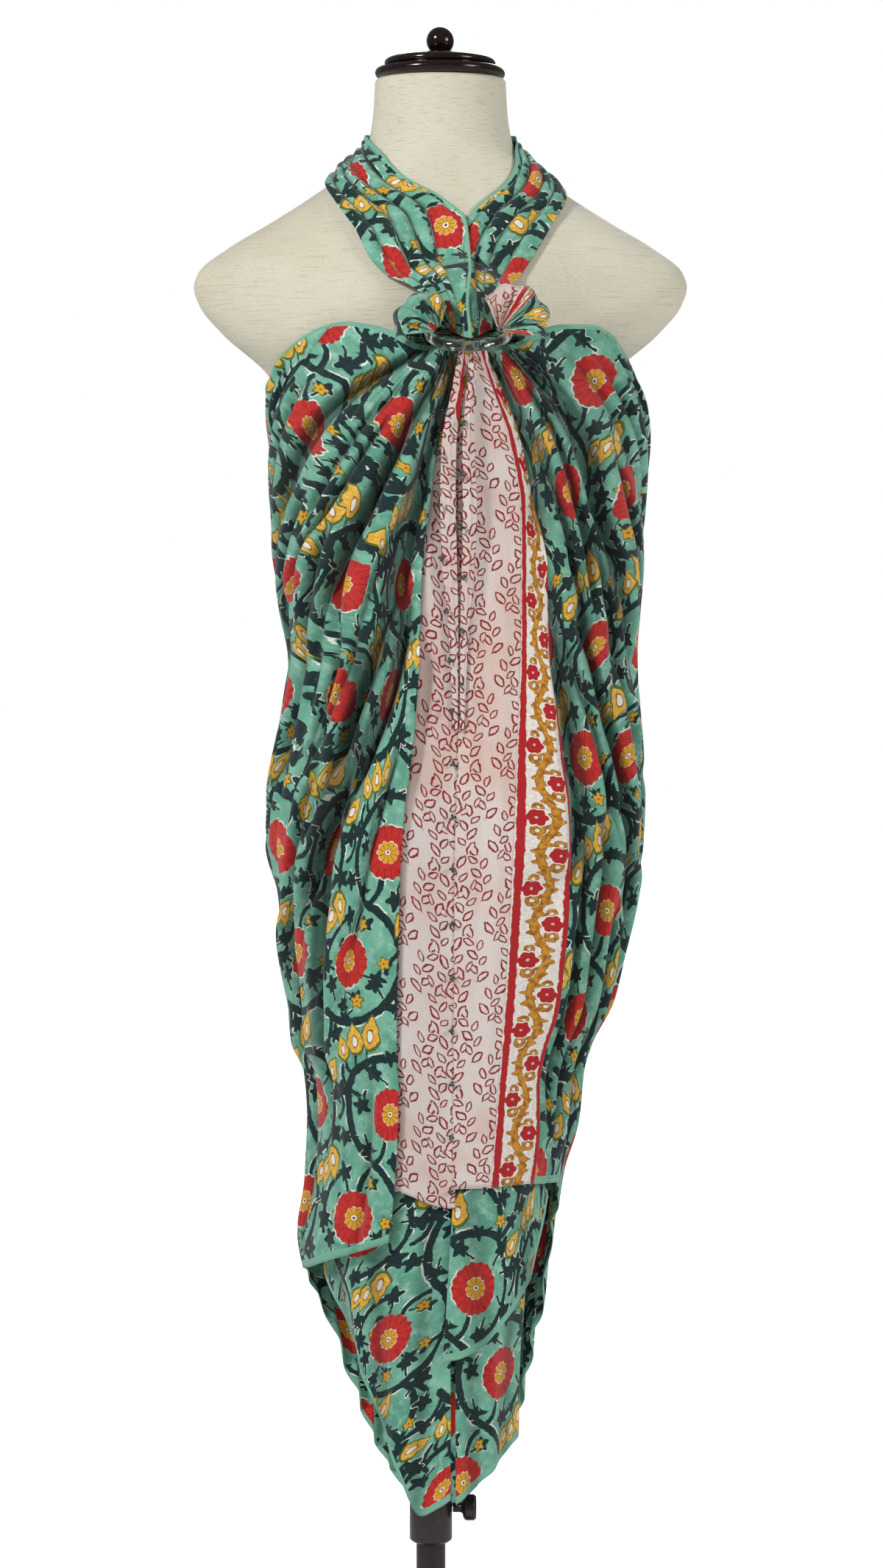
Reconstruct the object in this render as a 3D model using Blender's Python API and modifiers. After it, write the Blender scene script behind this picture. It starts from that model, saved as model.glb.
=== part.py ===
"""Halter sarong drawn through a ring, on a limbless dress form with a pole stand.

Sizes are in millimetres. The origin is the middle of the base's underside, the front faces -Y, and +Z is up.
"""
import bisect
import math

import bmesh
import bpy
from mathutils import Vector

MM = 0.001
WALL = 1.6
SEAM = 0.3
CORNER_SEAM = 0.8
SIDE_SEAM = 0.5
FORM_X = 8.0

CLOTH_GREEN = (0.16, 0.36, 0.29, 1.0)
CLOTH_PINK = (0.82, 0.68, 0.63, 1.0)
CLOTH_BORDER = (0.70, 0.36, 0.16, 1.0)
JERSEY = (0.72, 0.67, 0.55, 1.0)
DARK_WOOD = (0.022, 0.010, 0.008, 1.0)
DARK_METAL = (0.016, 0.013, 0.012, 1.0)
CLEAR_RESIN = (0.90, 0.93, 0.93, 1.0)

FORM_TOP = 1557.0
FORM_FOOT = 800.0
FORM_COLUMNS = ("z", "half_width", "front", "back", "power")
FORM_ROWS = (
    (800.0, 110.0, 92.0, 96.0, 2.2),
    (850.0, 119.0, 100.0, 107.0, 2.2),
    (920.0, 126.0, 104.0, 112.0, 2.2),
    (1000.0, 119.0, 98.0, 99.0, 2.2),
    (1060.0, 110.0, 84.0, 80.0, 2.2),
    (1160.0, 116.0, 95.0, 84.0, 2.2),
    (1230.0, 125.0, 112.0, 88.0, 2.1),
    (1270.0, 131.0, 108.0, 91.0, 2.1),
    (1310.0, 139.0, 98.0, 92.0, 2.0),
    (1350.0, 180.0, 92.0, 90.0, 1.8),
    (1372.0, 198.0, 88.0, 88.0, 1.7),
    (1388.0, 203.0, 85.0, 86.0, 1.65),
    (1400.0, 199.0, 82.0, 84.0, 1.65),
    (1420.0, 174.0, 74.0, 80.0, 1.7),
    (1440.0, 140.0, 64.0, 74.0, 1.8),
    (1460.0, 108.0, 57.0, 68.0, 1.9),
    (1480.0, 80.0, 53.0, 62.0, 2.0),
    (1500.0, 61.0, 51.0, 56.0, 2.0),
    (1530.0, 55.0, 50.0, 53.0, 2.0),
    (1557.0, 53.5, 50.0, 52.0, 2.0),
)

DRAPE_COLUMNS = ("z", "left", "right", "front", "back", "power")
DRAPE_ROWS = (
    (330.0, 84.0, 79.0, 92.0, 76.0, 2.3),
    (400.0, 86.0, 79.0, 94.0, 80.0, 2.3),
    (450.0, 88.0, 80.0, 96.0, 82.0, 2.3),
    (500.0, 94.0, 82.0, 99.0, 85.0, 2.3),
    (550.0, 106.0, 88.0, 103.0, 88.0, 2.3),
    (600.0, 113.0, 92.0, 106.0, 92.0, 2.3),
    (650.0, 104.0, 97.0, 109.0, 96.0, 2.3),
    (700.0, 101.0, 107.0, 112.0, 100.0, 2.3),
    (740.0, 104.0, 109.0, 115.0, 103.0, 2.3),
    (765.0, 115.0, 116.0, 117.0, 106.0, 2.3),
    (800.0, 119.0, 134.0, 119.0, 110.0, 2.3),
    (850.0, 127.0, 146.0, 123.0, 118.0, 2.3),
    (890.0, 131.0, 155.0, 125.0, 122.0, 2.3),
    (930.0, 137.0, 162.0, 126.0, 124.0, 2.3),
    (970.0, 134.0, 163.0, 125.0, 120.0, 2.3),
    (1010.0, 127.0, 162.0, 122.0, 112.0, 2.2),
    (1045.0, 121.0, 159.0, 120.0, 104.0, 2.2),
    (1085.0, 116.0, 156.0, 119.0, 99.0, 2.2),
    (1120.0, 121.0, 158.0, 120.0, 97.0, 2.2),
    (1170.0, 128.0, 161.0, 123.0, 97.0, 2.2),
    (1215.0, 130.0, 161.0, 127.0, 99.0, 2.1),
    (1260.0, 136.0, 162.0, 124.0, 100.0, 2.1),
    (1300.0, 145.0, 161.0, 114.0, 100.0, 2.0),
    (1330.0, 150.0, 158.0, 107.0, 98.0, 1.9),
    (1360.0, 162.0, 160.0, 103.0, 96.0, 1.9),
)

RING_CENTRE = Vector((22.0, -139.0, 1342.0))
RING_RADIUS = 30.6
RING_BAR = 4.2
RING_TILT = 22.0

WRAP_COLUMNS = ("u", "top_x", "top_y", "top_z", "hip_angle", "hem_angle", "hem_z")
WRAP_LEFT_ROWS = (
    (0.00, 12.0, -153.5, 1331.0, -6.5, -19.0, 613.0),
    (0.10, 4.5, -149.5, 1332.5, -20.0, -32.0, 604.0),
    (0.20, -1.0, -141.0, 1333.0, -37.0, -48.0, 594.0),
    (0.30, -7.0, -132.0, 1333.0, -57.0, -70.0, 581.0),
    (0.38, -18.0, -123.0, 1335.0, -80.0, -90.0, 572.0),
    (0.46, -34.0, -114.0, 1344.0, -99.0, -105.0, 545.0),
    (0.54, -54.0, -106.0, 1351.0, -112.0, -118.0, 498.0),
    (0.62, -78.0, -96.0, 1354.0, -122.0, -130.0, 452.0),
    (0.70, -108.0, -78.0, 1345.0, -132.0, -140.0, 418.0),
    (0.78, -136.0, -48.0, 1318.0, -143.0, -150.0, 392.0),
    (0.86, -143.0, 0.0, 1300.0, -152.0, -160.0, 368.0),
    (0.93, -104.0, 69.0, 1291.0, -165.0, -170.0, 352.0),
    (0.965, -54.0, 89.0, 1288.0, -172.0, -175.0, 347.0),
    (1.00, 0.0, 93.7, 1286.0, -180.0, -180.0, 345.0),
)
WRAP_RIGHT_ROWS = (
    (0.00, 35.0, -151.5, 1331.5, 32.0, 47.0, 657.0),
    (0.12, 41.0, -146.0, 1332.0, 44.0, 57.0, 655.0),
    (0.24, 46.0, -137.0, 1333.0, 58.0, 70.0, 652.0),
    (0.34, 55.0, -128.0, 1334.0, 76.0, 84.0, 640.0),
    (0.44, 72.0, -117.0, 1343.0, 92.0, 96.0, 600.0),
    (0.54, 94.0, -106.0, 1351.0, 106.0, 108.0, 525.0),
    (0.64, 122.0, -88.0, 1352.0, 120.0, 120.0, 465.0),
    (0.73, 148.0, -56.0, 1333.0, 133.0, 133.0, 425.0),
    (0.81, 159.0, -12.0, 1302.0, 145.0, 146.0, 396.0),
    (0.88, 128.0, 55.0, 1292.0, 156.0, 158.0, 370.0),
    (0.94, 76.0, 86.0, 1288.0, 168.0, 169.0, 353.0),
    (0.97, 40.0, 92.0, 1287.0, 174.0, 174.5, 347.0),
    (1.00, 0.0, 93.7, 1286.0, 180.0, 180.0, 345.0),
)
WRAP_ROWS = 14
HIP_AT = 0.35
TENT_END = 0.24
LEFT_SIDE_U = 0.6404
RIGHT_SIDE_U = 0.6608

FOLD_COLUMNS = ("edge", "depth", "lean", "hem_share")
FOLDS_LEFT = (
    (0.000, 4.0, 0.46, 0.5),
    (0.052, 7.0, 0.55, 0.3),
    (0.108, 6.0, 0.42, 0.2),
    (0.160, 10.0, 0.58, 0.3),
    (0.222, 9.0, 0.44, 0.3),
    (0.282, 11.0, 0.56, 0.5),
    (0.345, 9.0, 0.45, 0.8),
    (0.402, 11.0, 0.55, 0.8),
    (0.470, 9.0, 0.45, 0.8),
    (0.540, 10.0, 0.52, 0.9),
    (0.620, 7.0, 0.48, 1.0),
    (0.705, 9.0, 0.55, 1.0),
    (0.790, 8.0, 0.45, 1.1),
    (0.870, 9.0, 0.50, 1.2),
    (0.935, 7.0, 0.50, 1.2),
    (1.000, 0.0, 0.50, 1.0),
)
FOLDS_RIGHT = (
    (-0.030, 5.0, 0.55, 0.7),
    (0.070, 9.0, 0.56, 0.6),
    (0.142, 7.0, 0.42, 0.5),
    (0.210, 11.0, 0.57, 0.6),
    (0.285, 8.0, 0.45, 0.6),
    (0.355, 11.0, 0.55, 0.7),
    (0.425, 8.0, 0.44, 0.8),
    (0.500, 10.0, 0.54, 0.8),
    (0.570, 7.0, 0.46, 0.9),
    (0.640, 8.0, 0.52, 1.0),
    (0.720, 9.0, 0.55, 1.0),
    (0.800, 8.0, 0.45, 1.1),
    (0.880, 9.0, 0.50, 1.2),
    (0.940, 7.0, 0.50, 1.2),
    (1.000, 0.0, 0.50, 1.0),
)

PANEL_COLUMNS = ("z", "left_x", "right_x", "inset")
END_LEFT_ROWS = (
    (645.0, -52.0, 8.6, 5.0),
    (800.0, -47.0, 9.6, 5.0),
    (925.0, -45.0, 10.2, 5.0),
    (1030.0, -33.0, 13.0, 5.0),
    (1110.0, -26.0, 12.4, 5.0),
    (1200.0, -14.0, 12.6, 1.5),
    (1260.0, -2.0, 14.0, -16.0),
    (1300.0, 10.0, 16.6, -37.0),
    (1330.0, 13.6, 20.6, -50.0),
)
END_RIGHT_ROWS = (
    (655.0, 9.8, 40.5, 4.2),
    (800.0, 10.8, 51.0, 3.8),
    (925.0, 11.4, 58.0, 3.6),
    (1030.0, 14.2, 62.0, 3.6),
    (1110.0, 13.6, 64.5, 3.0),
    (1200.0, 13.8, 64.0, -1.0),
    (1260.0, 15.2, 54.0, -17.5),
    (1300.0, 18.4, 40.0, -37.0),
    (1330.0, 21.8, 30.0, -50.0),
)
FOLD_STRIP_LEFT_ROWS = (
    (1028.0, 10.2, 13.6, 2.6),
    (1072.0, 8.6, 14.0, 1.6),
    (1117.0, 6.0, 14.2, 0.4),
    (1162.0, 1.4, 13.2, -2.0),
    (1213.0, 0.0, 12.0, -8.0),
    (1254.0, 1.0, 12.5, -19.5),
    (1298.0, 9.0, 17.4, -41.0),
    (1326.0, 14.0, 19.4, -52.5),
)
FOLD_STRIP_RIGHT_ROWS = (
    (1028.0, 15.6, 18.6, 1.4),
    (1072.0, 15.8, 20.6, 0.6),
    (1117.0, 16.0, 23.4, -0.6),
    (1162.0, 17.0, 27.2, -3.0),
    (1203.0, 17.8, 29.0, -7.0),
    (1245.0, 17.2, 27.0, -17.0),
    (1285.0, 19.4, 26.0, -35.0),
    (1318.0, 22.0, 29.0, -49.5),
)

TAIL_COLUMNS = ("s", "top_angle", "low_angle", "low_z", "top_inset", "low_inset")
TAIL_TOP = 700.0
TAIL_LEFT_ROWS = (
    (0.00, -58.0, -68.0, 574.0, 8.5, 8.5),
    (0.20, -43.0, -55.0, 530.0, 7.8, 9.0),
    (0.45, -24.0, -43.5, 476.0, 7.2, 10.0),
    (0.65, -12.0, -27.0, 426.0, 7.2, 11.0),
    (0.85, -3.0, -10.0, 381.0, 7.4, 12.0),
    (1.00, 4.0, 5.0, 396.0, 9.8, 12.0),
)
TAIL_RIGHT_UPPER_ROWS = (
    (0.00, 6.0, 0.8, 512.0, 6.4, 6.6),
    (0.30, 15.5, 21.7, 526.0, 8.6, 8.6),
    (0.55, 27.0, 38.2, 550.0, 9.0, 9.0),
    (0.78, 41.0, 56.2, 578.0, 9.0, 9.0),
    (1.00, 55.0, 70.0, 640.0, 9.0, 9.0),
)
TAIL_RIGHT_LOWER_ROWS = (
    (0.00, 6.5, 7.9, 392.0, 10.2, 11.4),
    (0.30, 15.0, 22.3, 404.0, 11.2, 12.0),
    (0.60, 28.0, 42.3, 420.0, 11.5, 12.2),
    (0.82, 40.0, 63.9, 431.0, 12.5, 12.5),
    (1.00, 50.0, 78.0, 438.0, 13.0, 12.5),
)

STRAP_COLUMNS = ("t", "inner_angle", "inner_z", "outer_angle", "outer_z", "lift")
STRAP_LEFT_ROWS = (
    (0.00, 5.5, 1352.0, -3.0, 1352.0, 2.6),
    (0.14, 5.0, 1394.0, -12.5, 1380.0, 2.6),
    (0.30, 5.0, 1424.0, -20.0, 1402.0, 2.4),
    (0.44, 3.0, 1450.0, -28.0, 1428.0, 2.4),
    (0.58, -20.0, 1474.0, -50.0, 1456.0, 2.6),
    (0.70, -46.0, 1494.0, -84.0, 1472.0, 3.0),
    (0.82, -88.0, 1511.0, -118.0, 1478.0, 4.0),
    (0.92, -130.0, 1514.0, -148.0, 1482.0, 4.2),
    (1.00, -171.0, 1511.0, -172.0, 1486.0, 3.6),
)
STRAP_RIGHT_ROWS = (
    (0.00, 7.5, 1352.0, 16.0, 1352.0, 2.6),
    (0.14, 6.0, 1394.0, 20.0, 1378.0, 2.6),
    (0.30, 6.6, 1420.0, 26.0, 1404.0, 2.4),
    (0.44, 14.0, 1446.0, 38.0, 1432.0, 2.4),
    (0.58, 40.0, 1474.0, 60.0, 1454.0, 2.6),
    (0.70, 66.0, 1494.0, 92.0, 1470.0, 3.0),
    (0.82, 96.0, 1511.0, 122.0, 1477.0, 4.0),
    (0.92, 132.0, 1514.0, 150.0, 1482.0, 4.2),
    (1.00, 171.0, 1511.0, 172.0, 1486.0, 3.6),
)
CREASE_COLUMNS = ("across", "height", "width")
STRAP_CREASES = (
    (0.10, 3.0, 0.08),
    (0.32, 4.2, 0.09),
    (0.55, 3.4, 0.08),
    (0.78, 4.4, 0.09),
    (0.95, 2.6, 0.06),
)


CURVES = {}


def curve_through(columns, rows, name):
    """Keys, values and tangents of one named column, for a smooth curve that doesn't overshoot."""
    column = columns.index(name)
    keys = [row[0] for row in rows]
    values = [row[column] for row in rows]
    gaps = [b - a for a, b in zip(keys, keys[1:])]
    slopes = [(b - a) / gap for a, b, gap in zip(values, values[1:], gaps)]
    tangents = [slopes[0]]
    for i in range(1, len(slopes)):
        before, after = slopes[i - 1], slopes[i]
        if before * after <= 0.0:
            tangents.append(0.0)
        else:
            w1 = 2.0 * gaps[i] + gaps[i - 1]
            w2 = gaps[i] + 2.0 * gaps[i - 1]
            tangents.append((w1 + w2) / (w1 / before + w2 / after))
    tangents.append(slopes[-1])
    return keys, values, tangents


def table_value(columns, rows, name, at):
    """Reads one named column at a place between the rows."""
    if (id(rows), name) not in CURVES:
        CURVES[id(rows), name] = curve_through(columns, rows, name)
    keys, values, tangents = CURVES[id(rows), name]
    if at <= keys[0]:
        return values[0]
    if at >= keys[-1]:
        return values[-1]
    i = bisect.bisect_right(keys, at) - 1
    gap = keys[i + 1] - keys[i]
    s = (at - keys[i]) / gap
    rise = (1.0 + 2.0 * s) * (1.0 - s) ** 2 * values[i] + s * s * (3.0 - 2.0 * s) * values[i + 1]
    lean = s * (1.0 - s) ** 2 * tangents[i] + s * s * (s - 1.0) * tangents[i + 1]
    return rise + lean * gap


def smooth(x):
    x = min(max(x, 0.0), 1.0)
    return x * x * (3.0 - 2.0 * x)


def signed_power(value, power):
    return math.copysign(abs(value) ** power, value)


def form_point(angle, z, lift=0.0):
    """A point on the form: angle 0 is the front, 90 the right, 180 the back."""
    get = lambda name: table_value(FORM_COLUMNS, FORM_ROWS, name, z)
    turn = math.radians(angle)
    power = 2.0 / get("power")
    depth = get("front") if math.cos(turn) > 0.0 else get("back")
    x = (get("half_width") + lift) * signed_power(math.sin(turn), power)
    y = -(depth + lift) * signed_power(math.cos(turn), power)
    return Vector((x, y, z))


def form_normal(angle, z):
    along = form_point(angle + 1.0, z) - form_point(angle - 1.0, z)
    up = form_point(angle, z + 2.0) - form_point(angle, z - 2.0)
    return along.cross(up).normalized()


def drape_point(angle, z):
    """A point on the mean surface of the wrapped cloth."""
    get = lambda name: table_value(DRAPE_COLUMNS, DRAPE_ROWS, name, z)
    turn = math.radians(angle)
    power = 2.0 / get("power")
    side = get("left") if math.sin(turn) < 0.0 else get("right")
    depth = get("front") if math.cos(turn) > 0.0 else get("back")
    x = side * signed_power(math.sin(turn), power)
    y = -depth * signed_power(math.cos(turn), power)
    return Vector((x, y, z))


def drape_normal(angle, z):
    along = drape_point(angle + 1.0, z) - drape_point(angle - 1.0, z)
    return Vector((along.y, -along.x, 0.0)).normalized()


def drape_angle(x, y, z):
    """The angle at which the mean surface comes nearest to a point's direction."""
    best = min(range(-180, 181, 2), key=lambda a: (drape_point(a, z) - Vector((x, y, z))).length)
    return min((best + k / 8.0 for k in range(-16, 17)), key=lambda a: (drape_point(a, z) - Vector((x, y, z))).length)


def fold_height(folds, u, t):
    """How far a fold stands out: low at the gathers, full at the hip, and its own share of that at the hem."""
    for (start, depth, lean, hem_share), (end, _, _, _) in zip(folds, folds[1:]):
        if start <= u <= end:
            s = (u - start) / (end - start)
            s = 0.5 * s / lean if s < lean else 0.5 + 0.5 * (s - lean) / (1.0 - lean)
            grow = 0.25 + 0.75 * smooth(t / 0.22)
            grow *= 1.0 + (hem_share - 1.0) * smooth((t - 0.4) / 0.6)
            return depth * grow * 0.5 * (1.0 - math.cos(2.0 * math.pi * s))
    return 0.0


def wrap_point(rows, folds, u, t):
    get = lambda name: table_value(WRAP_COLUMNS, rows, name, u)
    top = Vector((get("top_x"), get("top_y"), get("top_z")))
    top_angle = drape_angle(*top)
    if rows is WRAP_LEFT_ROWS and top_angle > 90.0:
        top_angle -= 360.0
    if rows is WRAP_RIGHT_ROWS and top_angle < -90.0:
        top_angle += 360.0
    hip = get("hip_angle")
    hem = get("hem_angle")
    if t < HIP_AT:
        s = t / HIP_AT
        angle = top_angle + (hip - top_angle) * (1.0 - (1.0 - s) ** 1.8)
    else:
        s = (t - HIP_AT) / (1.0 - HIP_AT)
        angle = hip + (hem - hip) * s
    z = top.z + (get("hem_z") - top.z) * t
    point = drape_point(angle, z)
    point += drape_normal(angle, z) * (fold_height(folds, u, t) - 1.0)
    start = drape_point(top_angle, top.z)
    tent = (1.0 - min(t / TENT_END, 1.0)) ** 1.6
    return point + (top - start) * tent


def new_object(name, mesh, colour, roughness, metallic=0.0, transmission=0.0):
    material = bpy.data.materials.new(name + "_material")
    material.use_nodes = True
    shader = material.node_tree.nodes["Principled BSDF"]
    shader.inputs["Base Color"].default_value = colour
    shader.inputs["Roughness"].default_value = roughness
    shader.inputs["Metallic"].default_value = metallic
    shader.inputs["Transmission Weight"].default_value = transmission
    material.diffuse_color = colour
    mesh.materials.append(material)
    thing = bpy.data.objects.new(name, mesh)
    PARTS.objects.link(thing)
    return thing


def grid_mesh(name, rows, closed=False):
    """Joins rows of points into one open sheet, or a tube when each row closes on itself."""
    mesh = bpy.data.meshes.new(name)
    shape = bmesh.new()
    made = [[shape.verts.new(point * MM) for point in row] for row in rows]
    for low, high in zip(made, made[1:]):
        count = len(low)
        for i in range(count if closed else count - 1):
            j = (i + 1) % count
            shape.faces.new((low[i], low[j], high[j], high[i]))
    if closed:
        shape.faces.new(list(reversed(made[0])))
        shape.faces.new(made[-1])
    bmesh.ops.recalc_face_normals(shape, faces=shape.faces)
    shape.to_mesh(mesh)
    shape.free()
    mesh.polygons.foreach_set("use_smooth", [True] * len(mesh.polygons))
    return mesh


def sheet(name, rows, colour, wall=WALL):
    """A cloth wall: an open sheet of points, thickened evenly to both sides."""
    thing = new_object(name, grid_mesh(name, rows), colour, 0.85)
    thing.location.x = FORM_X * MM
    solid = thing.modifiers.new("wall", "SOLIDIFY")
    solid.thickness = wall * MM
    solid.offset = 0.0
    solid.use_even_offset = False
    return thing


def steps(start, end, count):
    return [start + (end - start) * i / (count - 1) for i in range(count)]


def turned(name, profile, colour, roughness, metallic=0.0, segments=24):
    """A turned piece: a profile of radius and height, from the top down its outer side, spun by a Screw modifier."""
    mesh = bpy.data.meshes.new(name)
    points = [(radius * MM, 0.0, height * MM) for radius, height in profile]
    closed = profile[0][0] > 0.0
    edges = [(i, i + 1) for i in range(len(points) - 1)]
    if closed:
        edges.append((len(points) - 1, 0))
    mesh.from_pydata(points, edges, [])
    thing = new_object(name, mesh, colour, roughness, metallic)
    screw = thing.modifiers.new("turn", "SCREW")
    screw.steps = segments
    screw.render_steps = segments
    screw.use_merge_vertices = True
    screw.merge_threshold = 0.00001
    screw.use_smooth_shade = True
    return thing


def arc_profile(centre_r, centre_z, radius, start, end, count):
    """Points round a moulding, angles from the outside, up positive."""
    turns = [math.radians(a) for a in steps(start, end, count)]
    return [(centre_r + radius * math.cos(a), centre_z + radius * math.sin(a)) for a in turns]


def build_form():
    heights = [800, 802, 850, 920, 1000, 1060, 1130, 1200, 1255, 1300, 1335, 1360, 1378, 1390, 1401, 1412, 1426]
    heights += [1442, 1458, 1472, 1486, 1502, 1528, 1555, 1557]
    rows = []
    for z in heights:
        inset = -1.5 if z in (800, 1557) else 0.0
        rows.append([form_point(a, z, inset) for a in steps(0.0, 348.75, 32)])
    thing = new_object("form_torso", grid_mesh("form_torso", rows, closed=True), JERSEY, 0.9)
    thing.location.x = FORM_X * MM


def build_cap():
    z = FORM_TOP + SEAM
    profile = [(0.0, z + 19.0), (37.0, z + 18.6), (42.5, z + 17.0)]
    profile += arc_profile(42.6, z + 13.4, 3.2, 70.0, -60.0, 4)
    profile += [(44.0, z + 10.0), (47.5, z + 9.2)]
    profile += arc_profile(49.6, z + 5.2, 4.0, 80.0, -70.0, 5)
    profile += [(50.0, z + 0.8), (48.0, z), (0.0, z)]
    cap = turned("neck_cap", profile, DARK_WOOD, 0.18)
    cap.location.x = FORM_X * MM
    foot = z + 19.0 + SEAM
    ball = foot + 12.0
    profile = arc_profile(0.0, ball, 11.4, 90.0, -58.0, 9)
    profile[0] = (0.0, ball + 11.4)
    profile += [(6.6, foot + 1.6), (8.6, foot + 0.8), (8.8, foot), (0.0, foot)]
    finial = turned("cap_finial", profile, DARK_WOOD, 0.16, segments=20)
    finial.location.x = FORM_X * MM


BASE_RADIUS = 150.0
BASE_TOP = 30.0
TUBE_RADIUS = 12.4
ROD_RADIUS = 9.5
CLAMP_LOW = 340.0
CLAMP_SEAT = 357.0
CLAMP_TOP = 381.0
CLAMP_RADIUS = 18.0
SCREW_Z = 368.0


def build_stand():
    profile = [(0.0, BASE_TOP), (21.0, BASE_TOP), (24.0, BASE_TOP - 3.0), (30.0, BASE_TOP - 8.0)]
    profile += [(80.0, BASE_TOP - 12.0), (128.0, BASE_TOP - 16.0), (136.0, 13.0)]
    profile += arc_profile(BASE_RADIUS - 6.5, 6.5, 6.0, 80.0, -60.0, 6)
    profile += [(BASE_RADIUS - 8.0, 0.0), (0.0, 0.0)]
    turned("stand_base", profile, DARK_WOOD, 0.2, segments=32)
    low = BASE_TOP + SEAM
    turned(
        "stand_pole_lower",
        [(0.0, CLAMP_SEAT - SEAM), (TUBE_RADIUS - 1.0, CLAMP_SEAT - SEAM), (TUBE_RADIUS, CLAMP_SEAT - 1.3)]
        + [(TUBE_RADIUS, low), (0.0, low)],
        DARK_METAL, 0.3, 0.6, segments=20,
    )
    turned(
        "stand_clamp",
        [(ROD_RADIUS + SEAM, CLAMP_TOP), (CLAMP_RADIUS - 2.0, CLAMP_TOP), (CLAMP_RADIUS, CLAMP_TOP - 2.0)]
        + [(CLAMP_RADIUS, CLAMP_LOW + 2.0), (CLAMP_RADIUS - 2.0, CLAMP_LOW), (TUBE_RADIUS + SEAM, CLAMP_LOW)]
        + [(TUBE_RADIUS + SEAM, CLAMP_SEAT), (ROD_RADIUS + SEAM, CLAMP_SEAT)],
        DARK_METAL, 0.35, 0.5, segments=20,
    )
    top = FORM_FOOT - SEAM
    turned(
        "stand_pole_upper",
        [(0.0, top), (34.0, top), (34.0, top - 4.0), (14.0, top - 6.0), (12.0, top - 26.0), (ROD_RADIUS, top - 28.0)]
        + [(ROD_RADIUS, CLAMP_SEAT), (0.0, CLAMP_SEAT)],
        DARK_METAL, 0.3, 0.6, segments=20,
    )
    screw = turned(
        "clamp_screw",
        [(0.0, 20.0), (9.0, 20.0), (11.0, 18.0), (11.0, 11.0), (9.0, 9.0), (5.0, 8.0), (4.0, 6.0), (4.0, 0.0), (0.0, 0.0)],
        DARK_METAL, 0.35, 0.5, segments=20,
    )
    screw.rotation_euler = (0.0, math.radians(90.0), 0.0)
    screw.location = ((CLAMP_RADIUS + SEAM) * MM, 0.0, SCREW_Z * MM)


def build_ring():
    bpy.ops.mesh.primitive_torus_add(
        major_segments=36, minor_segments=8, major_radius=RING_RADIUS * MM, minor_radius=RING_BAR * MM
    )
    thing = bpy.context.object
    mesh = thing.data
    bpy.data.objects.remove(thing)
    mesh.name = "sarong_ring"
    mesh.polygons.foreach_set("use_smooth", [True] * len(mesh.polygons))
    ring = new_object("sarong_ring", mesh, CLEAR_RESIN, 0.06, transmission=0.8)
    ring.location = (RING_CENTRE + Vector((FORM_X, 0.0, 0.0))) * MM
    ring.rotation_euler = (math.radians(RING_TILT), 0.0, 0.0)


def fold_columns(folds, start, end):
    """Column places between two limits, four to a fold."""
    places = [start, end]
    for (a, _, lean, _), (b, _, _, _) in zip(folds, folds[1:]):
        for share in (0.0, 0.5 * lean, lean, 0.5 + 0.5 * lean):
            place = a + (b - a) * share
            if start + 0.004 < place < end - 0.004:
                places.append(place)
    return sorted(set(places))


def trimmed(rows, first=0.0, last=0.0):
    """Draws the end columns of a sheet towards their neighbours, which leaves the gap of a seam."""
    for row in rows:
        row[0] = row[0] + (row[1] - row[0]).normalized() * first
        row[-1] = row[-1] + (row[-2] - row[-1]).normalized() * last
    return rows


def fall_steps(count):
    """Row places from the top edge to the hem, closer together near the top."""
    return [t * (0.55 + 0.45 * t) for t in steps(0.0, 1.0, count)]


def wrap_rows(rows, folds, start, end, count):
    columns = fold_columns(folds, start, end)
    return [[wrap_point(rows, folds, u, t) for u in columns] for t in fall_steps(count)]


def build_wrap():
    left = wrap_rows(WRAP_LEFT_ROWS, FOLDS_LEFT, 0.0, LEFT_SIDE_U, WRAP_ROWS)
    sheet("wrap_front_left", left, CLOTH_GREEN)
    right = wrap_rows(WRAP_RIGHT_ROWS, FOLDS_RIGHT, 0.0, RIGHT_SIDE_U, WRAP_ROWS)
    sheet("wrap_front_right", right, CLOTH_GREEN)
    back_left = wrap_rows(WRAP_LEFT_ROWS, FOLDS_LEFT, LEFT_SIDE_U, 1.0, WRAP_ROWS)
    back_right = wrap_rows(WRAP_RIGHT_ROWS, FOLDS_RIGHT, RIGHT_SIDE_U, 1.0, WRAP_ROWS)
    back = [a + list(reversed(b))[1:] for a, b in zip(back_left, back_right)]
    sheet("wrap_back", trimmed(back, SIDE_SEAM, SIDE_SEAM), CLOTH_GREEN)


def panel_edge(rows, name, z):
    """A point on a hanging panel's edge, set in from the wrapped cloth's mean surface."""
    x = table_value(PANEL_COLUMNS, rows, name, z)
    return panel_point(rows, x, z)


def panel_point(rows, x, z):
    inset = table_value(PANEL_COLUMNS, rows, "inset", z)
    get = lambda name: table_value(DRAPE_COLUMNS, DRAPE_ROWS, name, z)
    side = get("left") if x < 0.0 else get("right")
    power = get("power")
    y = -get("front") * (1.0 - min(abs(x) / side, 0.99) ** power) ** (1.0 / power)
    return Vector((x, y + inset, z))


def panel_rows(rows, across, down, bow=0.0):
    """A hanging strip between a left and a right edge, bowed forward a little across its width."""
    low, high = rows[0][0], rows[-1][0]
    made = []
    for z in steps(high, low, down):
        left = table_value(PANEL_COLUMNS, rows, "left_x", z)
        right = table_value(PANEL_COLUMNS, rows, "right_x", z)
        row = []
        for s in steps(0.0, 1.0, across):
            point = panel_point(rows, left + (right - left) * s, z)
            point.y -= bow * (right - left) * (1.0 - (2.0 * s - 1.0) ** 2)
            row.append(point)
        made.append(row)
    return made


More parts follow.
